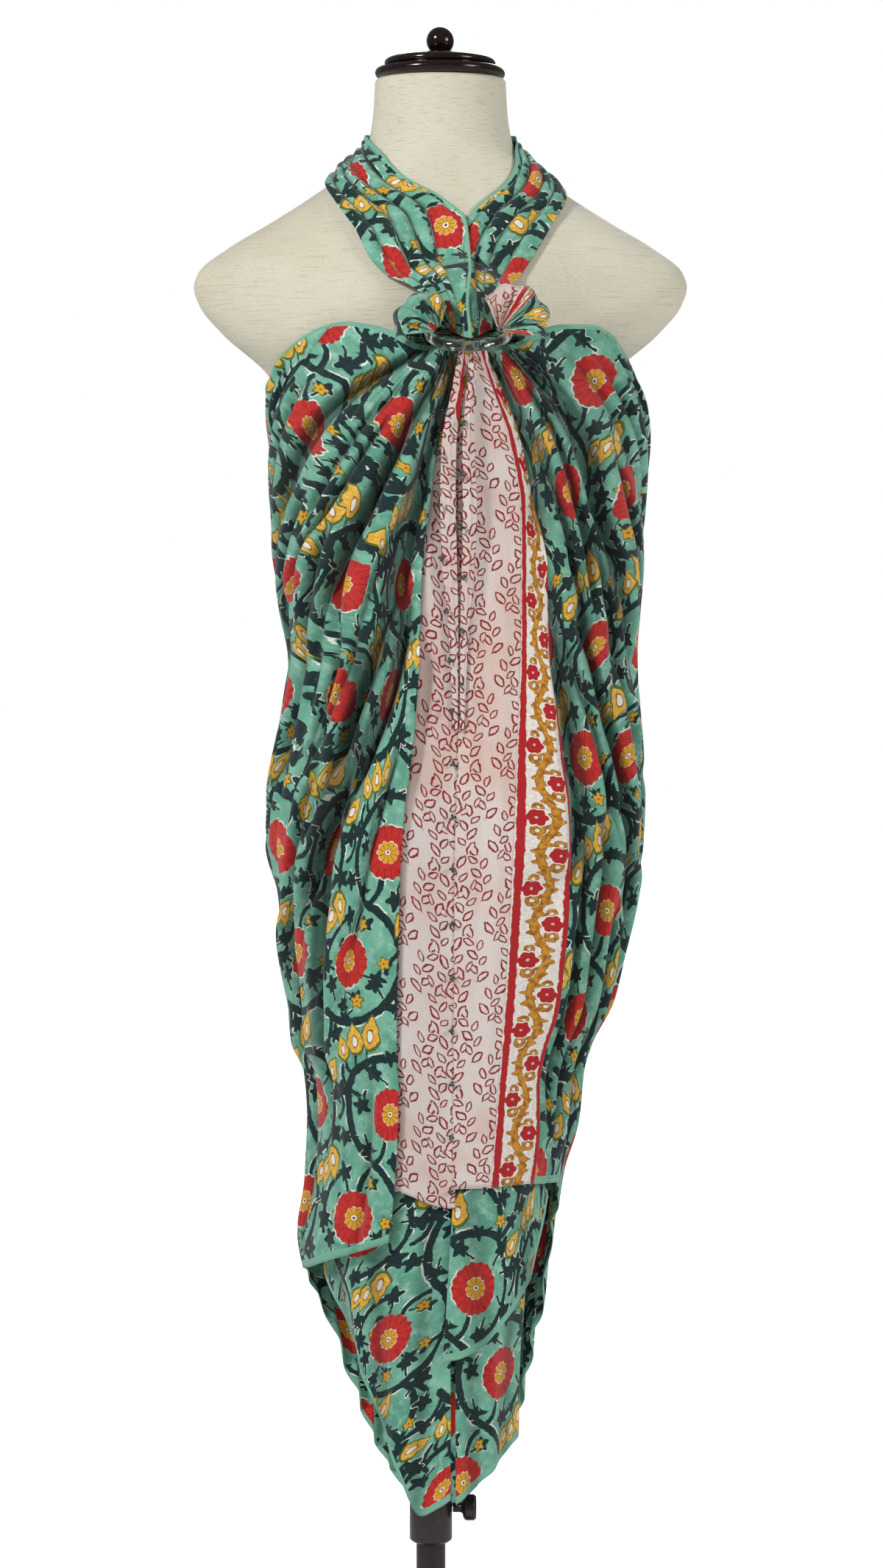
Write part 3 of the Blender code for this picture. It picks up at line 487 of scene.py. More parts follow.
def top_angles(rows, places):
    """The angle of each column's top end, worked out at the rows and smoothed between them."""
    known = np.linspace(0.0, 1.0, 61)
    found = []
    for u in known:
        top = [float(table(rows, name, u)) for name in ("top_x", "top_y", "top_z")]
        angle = drape_angle(*top)
        if rows is WRAP_LEFT_ROWS and angle > 90.0:
            angle -= 360.0
        if rows is WRAP_RIGHT_ROWS and angle < -90.0:
            angle += 360.0
        found.append(angle)
    kernel = np.array((0.25, 0.5, 0.25))
    padded = np.concatenate(([2 * found[0] - found[1]], found, [2 * found[-1] - found[-2]]))
    return np.interp(places, known, np.convolve(padded, kernel, mode="valid"))


def fold_height(folds, u, t):
    """How far folds stand out: low at the gathers, full at the hip, each with its own share at the hem."""
    height = np.zeros(np.broadcast(u, t).shape)
    for (start, depth, lean, hem_share), (end, _, _, _) in zip(folds, folds[1:]):
        inside = (u >= start) & (u < end)
        s = np.clip((u - start) / (end - start), 0.0, 1.0)
        s = np.where(s < lean, 0.5 * s / lean, 0.5 + 0.5 * (s - lean) / (1.0 - lean))
        grow = 0.25 + 0.75 * smooth(t / 0.22)
        grow = grow * (1.0 + (hem_share - 1.0) * smooth((t - 0.4) / 0.6))
        height = np.where(inside, depth * grow * 0.5 * (1.0 - np.cos(2.0 * np.pi * s)), height)
    return height


def crease_shape(creases, widths, us, t):
    """Ridges with one steep side and a narrow valley below it, the cloth that their valleys hide, and the
    painted shade that darkens their valleys.
    """
    height = np.zeros(widths.shape)
    hidden = np.zeros(widths.shape)
    painted_shade = np.zeros(widths.shape)
    for t_from, t_to, u_from, u_mid, u_to, width, rise in creases:
        share = np.clip((t - t_from) / (t_to - t_from), 0.0, 1.0)
        line = u_from * (1.0 - share) * (1.0 - 2.0 * share) + 4.0 * u_mid * share * (1.0 - share)
        line = line + u_to * share * (2.0 * share - 1.0)
        at = np.stack([np.interp(place, us, row) for place, row in zip(line[:, 0], widths)])[:, None]
        away = (widths - at) * math.copysign(1.0, width)
        width = abs(width)
        inside = smooth((t - t_from) / 0.04 + 0.25) * smooth((t_to - t) / (0.45 * (t_to - t_from)))
        broad = np.exp(-((away / width) ** 2))
        steep = np.exp(-((away / (0.34 * width)) ** 2))
        valley = np.exp(-(((away + 0.62 * width) / (0.28 * width)) ** 2))
        height = height + rise * inside * (np.where(away > 0.0, broad, steep) - 0.75 * valley)
        # Painted shade: colour darkened in each valley, more for taller creases
        painted_shade = painted_shade + inside * valley * rise / 5.0
        step = smooth((widths - at + 0.9 * width * np.sign(rise)) / (0.9 * width))
        past = np.maximum(widths - at, 0.0)
        hidden = hidden + 2.2 * rise * inside * step * np.exp(-past / 70.0)
    return height, hidden, np.clip(painted_shade, 0.0, 1.0)


ARC_STEP = 10.0
ARC_Z = np.arange(330.0, 1361.0, ARC_STEP)
ARC_ANGLES = np.arange(-190.0, 190.5, 1.0)


def arc_grid():
    """Running width round the mean surface from its front middle, at each height."""
    points = drape_point(ARC_ANGLES[None, :], ARC_Z[:, None])
    gaps = np.linalg.norm(np.diff(points, axis=1), axis=-1)
    total = np.concatenate((np.zeros((len(ARC_Z), 1)), np.cumsum(gaps, axis=1)), axis=1)
    middle = int(np.argmin(np.abs(ARC_ANGLES)))
    return total - total[:, middle : middle + 1]


ARCS = arc_grid()


def arc_place(angle, z):
    """Running width round the mean surface at an angle and a height, read from the grid."""
    i = np.clip((z - ARC_Z[0]) / ARC_STEP, 0.0, len(ARC_Z) - 1.001)
    j = np.clip(angle - ARC_ANGLES[0], 0.0, len(ARC_ANGLES) - 1.001)
    low_i, low_j = i.astype(int), j.astype(int)
    fi, fj = i - low_i, j - low_j
    top = ARCS[low_i, low_j] * (1.0 - fj) + ARCS[low_i, low_j + 1] * fj
    base = ARCS[low_i + 1, low_j] * (1.0 - fj) + ARCS[low_i + 1, low_j + 1] * fj
    return top * (1.0 - fi) + base * fi


def path_length(points, axis):
    """Running length along one axis of a grid of points."""
    gaps = np.linalg.norm(np.diff(points, axis=axis), axis=-1)
    return np.concatenate((np.zeros_like(gaps.take([0], axis=axis)), np.cumsum(gaps, axis=axis)), axis=axis)


def wrap_grid(rows, folds, creases, us, ts, calm=0.5):
    """Points of a wrapped front or back, row by row from its top edge to the hem, with their places on cloth,
    how far the hem is and their painted shade.

    Toward the ring the cloth leaves the mean surface like a tent. The broad folds keep only a share of their
    height where the listed creases take over.
    """
    us = np.asarray(us)
    u = us[None, :]
    t = np.asarray(ts)[:, None]

    def column(name):
        return table(rows, name, u)

    top = stack(column("top_x"), column("top_y"), column("top_z"))
    top_angle = top_angles(rows, u[0])[None, :]
    hip, hem, hem_z = column("hip_angle"), column("hem_angle"), column("hem_z")
    s = np.clip(t / HIP_AT, 0.0, 1.0)
    upper = top_angle + (hip - top_angle) * (1.0 - (1.0 - s) ** 1.8)
    lower = hip + (hem - hip) * (t - HIP_AT) / (1.0 - HIP_AT)
    angle = np.where(t < HIP_AT, upper, lower)
    z = column("top_z") + (hem_z - column("top_z")) * t
    start = drape_point(top_angle, column("top_z"))
    tent = (top - start) * ((1.0 - np.clip(t / TENT_END, 0.0, 1.0)) ** 1.6)[..., None]
    bare = drape_point(angle, z) + tent
    widths = path_length(bare, 1)
    keep = 0.25 + 0.6 * smooth((u - calm) / 0.15) + 0.3 * smooth((t - 0.6) / 0.4) * smooth((u - 0.25) / 0.2)
    keep = keep + 0.35 * smooth((t - 0.14) / 0.12) * smooth((0.62 - t) / 0.1) * smooth((u - 0.06) / 0.08)
    keep = np.minimum(keep, 1.0)
    base = fold_height(folds, u, t)
    depth = np.interp(u, [fold.edge for fold in folds], [fold.depth for fold in folds])
    creased, hidden, painted_shade = crease_shape(creases, widths, us, t)
    gathered = 1.0 - smooth((u - 0.3) / 0.12)
    gather = 1.6 * np.cos(2.0 * np.pi * u / GATHER_PITCH) * (1.0 - smooth(t / 0.13)) * gathered
    rise = base * keep + 0.42 * depth * (1.0 - keep) + 1.7 * creased + gather - 1.0
    less = RISE_LESS_LEFT if rows is WRAP_LEFT_ROWS else RISE_LESS_RIGHT
    limit = RISE_FRONT - less * smooth((u - 0.30) / 0.14)
    rise = np.maximum(limit * np.tanh(rise / limit), LOWEST_RISE)
    points = bare + drape_normal(angle, z) * rise[..., None]
    spare = path_length(points, 1) - widths
    place = np.sign(rows[-1].hem_angle) * (spare + hidden) + PRINT_STRETCH * arc_place(angle, z)
    fall = path_length(bare, 0)
    rim = np.minimum(fall[-1:] - fall, fall + 1.5)
    # Painted shade in the hollows between the gathers near the top edge
    painted_pinch_shade = 0.6 * np.maximum(np.cos(2.0 * np.pi * (u / GATHER_PITCH + 0.5)), 0.0) * (1.0 - smooth(t / 0.1))
    painted_shade = np.maximum(painted_shade, painted_pinch_shade * gathered)
    # Painted shade: the right front's valleys darker still, and a faint painted shade over its front part
    if rows is WRAP_RIGHT_ROWS:
        painted_shade = np.minimum(1.3 * painted_shade + 0.10 * smooth((0.5 - u) / 0.2), 1.0)
    return points, np.stack((place, z, rim, painted_shade * np.ones(z.shape)), axis=-1)


# Node trees written as sums
def by_node(operation, swapped=False):
    """A method that adds the node of one sum or comparison."""
    def method(self, *others):
        values = (*others, self) if swapped else (self, *others)
        return self.paint.calc(operation, *values)

    return method


class Field:
    """A value in a material; sums and comparisons of it add the nodes that work them out."""

    def __init__(self, paint, socket):
        self.paint = paint
        self.socket = socket

    __add__ = __radd__ = by_node("ADD")
    __mul__ = __rmul__ = by_node("MULTIPLY")
    __sub__ = by_node("SUBTRACT")
    __rsub__ = by_node("SUBTRACT", swapped=True)
    __truediv__ = by_node("DIVIDE")
    size = by_node("ABSOLUTE")
    least = by_node("MINIMUM")
    most = by_node("MAXIMUM")
    below = by_node("LESS_THAN")
    sine = by_node("SINE")
    cosine = by_node("COSINE")
    root = by_node("SQRT")

    def inside(self, soft=0.35):
        """1 where the value is below zero, 0 where it is above, with a soft edge."""
        made = self.paint.calc("MULTIPLY_ADD", self, -1.0 / soft, 0.5)
        made.socket.node.use_clamp = True
        return made

    def spread(self, low, high, to_low=0.0, to_high=1.0):
        """The value's stretch from low to high, mapped to another and kept inside it."""
        made = self.paint.node("MapRange", self)
        for name, value in (("From Min", low), ("From Max", high), ("To Min", to_low), ("To Max", to_high)):
            made.inputs[name].default_value = value
        return Field(self.paint, made.outputs["Result"])


MIX_SOCKETS = {"RGBA": (6, 7, 2), "VECTOR": (4, 5, 1), "FLOAT": (2, 3, 0)}


class Paint:
    """A material whose colour, roughness and relief are worked out in nodes."""

    def __init__(self, name, roughness=0.8, **settings):
        self.material = bpy.data.materials.new(name)
        self.material.use_nodes = True
        self.tree = self.material.node_tree
        self.shader = self.tree.nodes["Principled BSDF"]
        self.shader.inputs["Roughness"].default_value = roughness
        for key, value in settings.items():
            self.shader.inputs[key.replace("_", " ")].default_value = value

    def feed(self, socket, value):
        if isinstance(value, Field):
            self.tree.links.new(value.socket, socket)
        else:
            socket.default_value = value

    def node(self, kind, *values, **settings):
        """A new node with its settings and the values of its first sockets."""
        made = self.tree.nodes.new("ShaderNode" + kind)
        for key, value in settings.items():
            setattr(made, key, value)
        for socket, value in zip(made.inputs, values):
            self.feed(socket, value)
        return made

    def calc(self, operation, *values):
        return Field(self, self.node("Math", *values, operation=operation).outputs[0])

    def vector(self, operation, *values):
        made = self.node("VectorMath", *values, operation=operation)
        return Field(self, made.outputs["Value" if operation == "LENGTH" else "Vector"])

    def scaled(self, vector, factor):
        made = self.node("VectorMath", vector, operation="SCALE")
        self.feed(made.inputs["Scale"], factor)
        return Field(self, made.outputs["Vector"])

    def parts(self, place):
        made = self.node("SeparateXYZ", place)
        return [Field(self, made.outputs[axis]) for axis in "XYZ"]

    def joined(self, x, y, z=0.0):
        return Field(self, self.node("CombineXYZ", x, y, z).outputs[0])

    def cloth_place(self, layer="cloth"):
        """Place on the flat cloth, in millimetres, or how far the hem is and how much painted shade the fold
        valleys get.
        """
        return self.scaled(Field(self, self.node("UVMap", uv_map=layer).outputs["UV"]), 1.0 / MM)

    def object_place(self):
        return self.scaled(Field(self, self.node("TexCoord").outputs["Object"]), 1.0 / MM)

    def noise(self, place, grain, detail=2.0, rough=0.5, colour=False, flat=True):
        """Noise with features about grain millimetres across; colour gives three of them as a vector."""
        made = self.node("TexNoise", place, noise_dimensions="2D" if flat else "3D")
        for name, value in (("Scale", 1.0 / grain), ("Detail", detail), ("Roughness", rough)):
            made.inputs[name].default_value = value
        return Field(self, made.outputs["Color" if colour else "Fac"])

    def mixed(self, share, first, second, kind="RGBA"):
        made = self.node("Mix", share, data_type=kind)
        a, b, out = MIX_SOCKETS[kind]
        self.feed(made.inputs[a], first)
        self.feed(made.inputs[b], second)
        return Field(self, made.outputs[out])

    def local(self, place, repeat, x, y, angle, size=1.0):
        """Coordinates from the nearest copy of a motif in the repeat, turned and scaled to the motif."""
        half_x, half_y = 0.5 * repeat[0], 0.5 * repeat[1]
        wrapped = self.vector("WRAP", place, (x + half_x, y + half_y, 0.0), (x - half_x, y - half_y, 0.0))
        turn = (0.0, 0.0, math.radians(angle))
        made = self.node("Mapping", wrapped, (x, y, 0.0), turn, (size, size, 1.0), vector_type="TEXTURE")
        return Field(self, made.outputs["Vector"])

    def nearest(self, place, repeat, rows):
        """Coordinates from the nearest of several motifs."""
        best, least = None, None
        for x, y, angle, size in rows:
            local = self.local(place, repeat, x, y, angle, size)
            far = self.vector("LENGTH", local)
            if best is None:
                best, least = local, far
            else:
                best = self.mixed(far.below(least), best, local, "VECTOR")
                least = far.least(least)
        return best, least

    def stems(self, place, repeat, rows):
        """Distance out of the nearest curved stem, and how far to its outer side a place lies."""
        best, side = None, None
        for x, y, radius, start, end, width in rows:
            middle, half = 0.5 * (start + end), math.radians(0.5 * (end - start))
            local = self.local(place, repeat, x, y, middle)
            far = self.vector("LENGTH", local)
            across, up, _ = self.parts(local)
            beyond = (self.calc("ARCTAN2", up, across).size() - half).most(0.0) * (1.6 * radius)
            out = far - radius
            edge = out.size() + beyond - width
            outward = out - width + beyond * 40.0
            if best is None:
                best, side = edge, outward
            else:
                side = self.mixed(edge.below(best), side, outward, "FLOAT")
                best = best.least(edge)
        return best, side

    def relief(self, height, strength, distance):
        made = self.node("Bump")
        for name, value in (("Strength", strength), ("Distance", distance * MM), ("Height", height)):
            self.feed(made.inputs[name], value)
        self.tree.links.new(made.outputs["Normal"], self.shader.inputs["Normal"])

    def printed(self, made, *inks):
        """Lays inks over each other: each stands inside its edge, which is more or less soft."""
        for edge, soft, ink in inks:
            made = self.mixed(edge.inside(soft), made, ink)
        return made

    def finish(self, colour, roughness=None):
        self.feed(self.shader.inputs["Base Color"], colour)
        if roughness is not None:
            self.feed(self.shader.inputs["Roughness"], roughness)
        return self.material


def colour(red, green, blue):
    """A display colour, 0 to 255, as the light it stands for."""
    made = []
    for value in (red, green, blue):
        share = value / 255.0
        made.append(share / 12.92 if share <= 0.04045 else ((share + 0.055) / 1.055) ** 2.4)
    return (*made, 1.0)


# Print, charted on one repeat, in millimetres of flat cloth
GROUND = colour(125, 188, 163)
GROUND_PALE = colour(156, 206, 184)
GROUND_DEEP = colour(92, 158, 134)
VINE = colour(17, 52, 52)
VINE_DEEP = colour(8, 32, 36)
RED = colour(206, 44, 36)
RED_MID = colour(182, 32, 30)
RED_DEEP = colour(120, 16, 22)
YELLOW = colour(226, 166, 40)
YELLOW_PALE = colour(240, 198, 92)
OLIVE = colour(92, 104, 38)
WHITE = colour(238, 238, 226)
HEM_GREEN = colour(128, 188, 162)
BLUSH = colour(219, 192, 181)
BLUSH_WHITE = colour(224, 212, 205)
LINE_RED = colour(140, 30, 34)
BORDER_RED = colour(176, 26, 30)
GOLD = colour(208, 146, 42)
GOLD_DEEP = colour(150, 92, 22)

REPEAT = (104.0, 213.0)
STEM_COLUMNS = ("x", "y", "radius", "start", "end", "width")
STEMS = named(STEM_COLUMNS, (
    (0, 0, 46, 58, 246, 3.3),
    (-40, -88, 50.7, -125, 66, 3.3),
    (-17, 50, 41, -14, 73, 2.8),
    (-28, -22, 22, -65, 0, 2.3),
    (-14, -66, 22, 115, 180, 2.2),
    (-4, 0, 41, -78, 42, 2.4),
    (-40, -88, 38, 100, 205, 2.1),
    (4, 60, 28, 55, 130, 2.2),
    (10, 70, 33, -62, 20, 2.4),
    (-30, 30, 16, 150, 260, 2),
    (18, -100, 20, 60, 175, 2),
    (34, 8, 18, -60, 60, 2),
))
MOTIF_COLUMNS = ("x", "y", "angle", "size")
FLOWERS = named(MOTIF_COLUMNS, (
    (0, 0, 0, 1),
    (-40, -88, 25, 1.02),
))
BUDS = named(MOTIF_COLUMNS, (
    (-44, 53, 22, 0.86),
    (-31, 61, 8, 1),
    (-16, 66, -8, 1.1),
    (12, -58, 150, 0.95),
    (24, -55, 165, 1),
    (36, -46, 190, 1.1),
    (44, 34, -35, 1),
))
STARS = named(MOTIF_COLUMNS, (
    (-23, -58, 10, 0.9),
    (-28, 92, 50, 1),
    (-4, -90, 70, 0.9),
    (24, 54, 20, 1),
    (44, -86, 0, 0.9),
))
LEAVES = named(MOTIF_COLUMNS, (
    (-14, 33, 60, 0.8),
    (-33, 6, 160, 0.78),
    (28, 31, -30, 0.95),
    (43, 12, -80, 0.85),
    (37, -20, -130, 0.95),
    (6, -38, 170, 0.85),
    (-51, -22, 100, 0.85),
    (-49, 17, 70, 0.85),
    (-45, -124, 170, 0.8),
    (-11, -103, -100, 0.8),
    (28, -92, 80, 0.95),
    (-51, -52, 20, 0.85),
    (50, 64, -60, 0.9),
    (10, 93, -10, 0.9),
    (20, -76, -60, 0.8),
    (38, 53, 140, 0.8),
    (-12, 106, 40, 0.85),
    (-28, -31, 200, 0.75),
    (2, 46, 110, 0.75),
    (-20, -58, 300, 0.7),
    (24, 74, 200, 0.8),
    (-42, 78, 130, 0.8),
    (40, -108, 30, 0.85),
    (-30, -118, 250, 0.7),
))
COMMAS = named(MOTIF_COLUMNS, (
    (-38, 36, 30, 1),
    (22, -34, 200, 1),
    (-2, 88, 120, 0.9),
    (6, -116, 0, 1),
    (-20, -30, 70, 0.8),
    (47, -72, 300, 1),
))


def leaf_shape(paint, x, y, far):
    """Distance out of an ivy-like leaf: five pointed lobes, the middle one longest, and a stalk."""
    turn = paint.calc("ARCTAN2", x, y)
    dip = (turn * 2.5).sine().size()
    blade = far + dip * 1.8 + dip * dip * 2.9 - y * 0.17 - 10.4
    stalk = ((x - y * 0.12).size() - 1.2).most((y + 10.0).size() - 8.0)
    return blade.least(stalk)


def draw_green(paint, place, wear):
    """The field: sea-green ground, vines, ivy leaves, round red flowers, yellow buds and stars."""
    pool = paint.noise(place, 34.0, 3.0, 0.6)
    ground = paint.mixed(pool.spread(0.35, 0.7), GROUND_DEEP, GROUND)
    ground = paint.mixed(paint.noise(place, 11.0, 3.0, 0.65).spread(0.48, 0.78), ground, GROUND_PALE)
    ink = paint.mixed(wear.spread(0.35, 0.7), VINE_DEEP, VINE)

    stem, outer = paint.stems(place, REPEAT, STEMS)
    grain = (wear - 0.5) * 1.1
    made = paint.mixed((stem + grain).inside(0.4), ground, ink)
    gaps = paint.noise(place, 15.0, 1.0, 0.5).spread(0.50, 0.53)
    sliver = ((outer - 0.9).size() - 0.6).inside(0.35) * gaps
    made = paint.mixed(sliver, made, WHITE)

    leaf, far = paint.nearest(place, REPEAT, LEAVES)
    x, y, _ = paint.parts(leaf)
    shape = leaf_shape(paint, x, y, far) + grain
    lit = ((shape - 0.7).size() - 0.5).inside(0.35) * (x - y * 0.4).spread(1.5, 2.5)
    made = paint.mixed(lit * gaps, made, WHITE)
    made = paint.mixed(shape.inside(0.4), made, ink)
    comma, _ = paint.nearest(place, REPEAT, COMMAS)
    x, y, _ = paint.parts(comma)
    hook = (x - y * y * 0.09 + 1.0).size() - 2.4 * (1.0 - (y / 7.0) * (y / 7.0))
    made = paint.mixed((hook + grain * 0.5).inside(0.4), made, ink)

    star, far = paint.nearest(place, REPEAT, STARS)
    x, y, _ = paint.parts(star)
    points = far + (paint.calc("ARCTAN2", y, x) * 5.0).cosine() * 1.3 + grain
    made = paint.printed(
        made, (points - 5.6, 0.4, OLIVE), (points - 4.2, 0.4, YELLOW), (far - 1.0, 0.4, GOLD_DEEP),
    )

    bud, _ = paint.nearest(place, REPEAT, BUDS)
    x, y, _ = paint.parts(bud)
    narrow = x / (1.0 - y * 0.045)
    turn = paint.calc("ARCTAN2", y, narrow)
    frill = (turn * 6.0).cosine() * 0.07 + grain * 0.05
    flame = (narrow * narrow * (1.0 / 42.0) + y * y * (1.0 / 128.0)).root() + frill
    stalk = ((x - y * 0.08).size() - 1.1).most((y + 16.0).size() - 7.0)
    yolk = paint.mixed(wear.spread(0.4, 0.65), YELLOW, YELLOW_PALE)
    seed = (x * x * (1.0 / 5.0) + (y + 2.5) * (y + 2.5) * (1.0 / 20.0)).root() + grain * 0.08
    made = paint.printed(
        made, (stalk, 0.4, ink), (flame - 1.19, 0.05, OLIVE), (flame - 0.98, 0.05, yolk),
        (seed - 1.25, 0.1, GOLD_DEEP), (seed - 0.95, 0.1, WHITE),
    )

    flower, far = paint.nearest(place, REPEAT, FLOWERS)
    x, y, _ = paint.parts(flower)
    turn = paint.calc("ARCTAN2", y, x)
    scallop = (turn * 9.0).cosine().size() * 1.2
    petal_line = (turn * 9.0).sine().size()
    rim = far - scallop + grain
    white_side = ((rim - 21.6).size() - 0.5).inside(0.35) * gaps
    made = paint.mixed(white_side, made, WHITE)
    red = paint.mixed(paint.noise(place, 5.0, 2.0, 0.6).spread(0.35, 0.7), RED, RED_MID)
    red = paint.mixed((petal_line - 0.13).inside(0.1) * (far - 11.0).spread(0.0, 3.0), red, RED_DEEP)
    made = paint.mixed((rim - 20.6).inside(0.4), made, red)
    petals = (turn * 5.0).cosine().size()
    rosette = far - petals * 1.5 + grain * 0.6
    made = paint.mixed((rosette - 8.1).inside(0.4) * gaps.spread(0.0, 1.0, 0.45, 1.0), made, WHITE)
    made = paint.mixed((rosette - 7.5).inside(0.4), made, YELLOW)
    between = (petals - 0.24).inside(0.12) * (far - 3.0).spread(0.0, 0.6) * (8.4 - far).spread(0.0, 0.8)
    made = paint.mixed(between, made, GOLD_DEEP)
    return paint.printed(
        made, (far - 3.1, 0.4, GOLD_DEEP), (far - 2.5, 0.4, WHITE), (far - 1.1, 0.4, RED_DEEP),
    )


SPRIG_REPEAT = (46.0, 66.0)
BRANCH_COLUMNS = ("x", "y", "heading", "bend", "length", "leaves")
BRANCHES = named(BRANCH_COLUMNS, (
    (-18, -31, 82, 34, 40, 7),
    (5, -29, 72, 40, 40, 7),
    (-7, 2, 96, -38, 40, 7),
    (15, 6, 102, -34, 40, 7),
))


BRANCH_HALF_WIDTH = 0.46
LEAF_REACH = 5.9
LEAF_LEAN = math.radians(40.0)
LEAF_HALF_LENGTH = 5.7
LEAF_HALF_WIDTH = 2.6


def sprigs():
    """Leaves in turn to both sides of each curved branch, one at its tip, and the arcs of the branches."""
    leaves, arcs = [], []
    for x, y, heading, bend, length, count in BRANCHES:
        radius = length / math.radians(bend)
        middle_x = x - radius * math.sin(math.radians(heading))
        middle_y = y + radius * math.cos(math.radians(heading))
        first = heading - 90.0 if bend > 0.0 else heading + 90.0
        ends = sorted((first, first + bend))
        arcs.append((middle_x, middle_y, abs(radius), ends[0], ends[1], BRANCH_HALF_WIDTH))
        for k in range(count):
            share = (k + 0.6) / (count - 0.4)
            turn = math.radians(heading + bend * share)
            at_x = middle_x + radius * math.sin(turn)
            at_y = middle_y - radius * math.cos(turn)
            side = 0.0 if k == count - 1 else (1.0 if k % 2 else -1.0)
            lean = turn + side * LEAF_LEAN
            size = 0.88 + 0.12 * math.sin(2.3 * k + x)
            leaf_x = at_x + LEAF_REACH * math.cos(lean)
            leaf_y = at_y + LEAF_REACH * math.sin(lean)
            leaves.append((leaf_x, leaf_y, math.degrees(lean) - 90.0, size))
    return leaves, arcs


def draw_pink(paint, place, wear):
    """The end panel: blush cloth with leaf sprigs drawn in fine red outline."""
    pool = paint.noise(place, 60.0, 2.0, 0.5)
    made = paint.mixed(pool.spread(0.40, 0.66), BLUSH_WHITE, BLUSH)
    leaves, arcs = sprigs()
    leaf, _ = paint.nearest(place, SPRIG_REPEAT, leaves)
    x, y, _ = paint.parts(leaf)
    along = y / LEAF_HALF_LENGTH
    width = LEAF_HALF_WIDTH * (1.0 - along * along)
    outline = ((x.size() - width) * 0.78).size() - 0.62
    stalk = (x.size() - 0.25).most((y + 6.2).size() - 1.4)
    stem, _ = paint.stems(place, SPRIG_REPEAT, arcs)
    drawn = outline.least(stalk).least(stem) + (wear - 0.5) * 0.6
    return paint.mixed(drawn.inside(0.35), made, LINE_RED)


PANEL_WIDTH = 52.0
BORDER_WIDTH = 36.0
VINE_MIDDLE = 19.5
SCROLL_REPEAT = (400.0, 58.0)
HOOKS = named(MOTIF_COLUMNS, (
    (-6.6, 4, 0, 1),
    (6.6, 33, 0, 1),
    (-6.4, 22.5, 0, 0.8),
    (6.4, 51.5, 0, 0.8),
))
ROSETTES = named(MOTIF_COLUMNS, (
    (-7, 14, 0, 1),
    (7, 43, 0, 1),
))


def draw_border(paint, place, wear):
    """The border: a red stripe, a gold scrolling vine with rosettes on white, and a thin red line."""
    across, along, _ = paint.parts(place)
    across = across - PANEL_WIDTH
    grain = (wear - 0.5) * 1.6
    made = paint.mixed(wear.spread(0.4, 0.7), BLUSH_WHITE, WHITE)
    sway = (along * (2.0 * math.pi / SCROLL_REPEAT[1])).sine() * 4.6
    off = across - VINE_MIDDLE - sway + grain
    line = off.size() - 2.0
    curl = (along * (2.0 * math.pi / 9.7) + 0.6).sine() * 3.6
    leafy = (off - curl).size() - 1.9 * (along * (2.0 * math.pi / 14.5)).cosine().size() - 0.3
    scroll = paint.joined(across - VINE_MIDDLE, along)
    _, far = paint.nearest(scroll, SCROLL_REPEAT, HOOKS)
    loops = (far - 3.2).size() - 0.9
    drawn = line.least(leafy).least(loops)
    gold = paint.mixed(paint.noise(place, 4.0, 2.0, 0.6).spread(0.4, 0.65), GOLD, GOLD_DEEP)
    drawn = drawn + grain * 0.3
    made = paint.printed(made, (drawn - 0.7, 0.3, GOLD_DEEP), (drawn, 0.4, gold))
    rosette, far = paint.nearest(scroll, SCROLL_REPEAT, ROSETTES)
    x, y, _ = paint.parts(rosette)
    petals = far - (paint.calc("ARCTAN2", y, x) * 3.0).cosine().size() * 1.3 + grain * 0.2
    stripe = ((across - 3.6).size() - 2.7).least((across - 34.6).size() - 1.9) + grain * 0.25
    return paint.printed(
        made, (petals - 6.4, 0.4, WHITE), (petals - 5.6, 0.4, BORDER_RED), (far - 1.0, 0.4, BLUSH),
        (stripe, 0.5, BORDER_RED),
    )


WEAVE_PITCH = 0.42
# How far the hand blocks' lines wander, the plain hem and its line of stitches, and the darkest painted shade
# in the fold valleys
BLOCK_DRIFT = 2.4
HEM_WIDTH = 6.5
HEM_STITCHES = 4.6
VALLEY_SHADE = 0.30


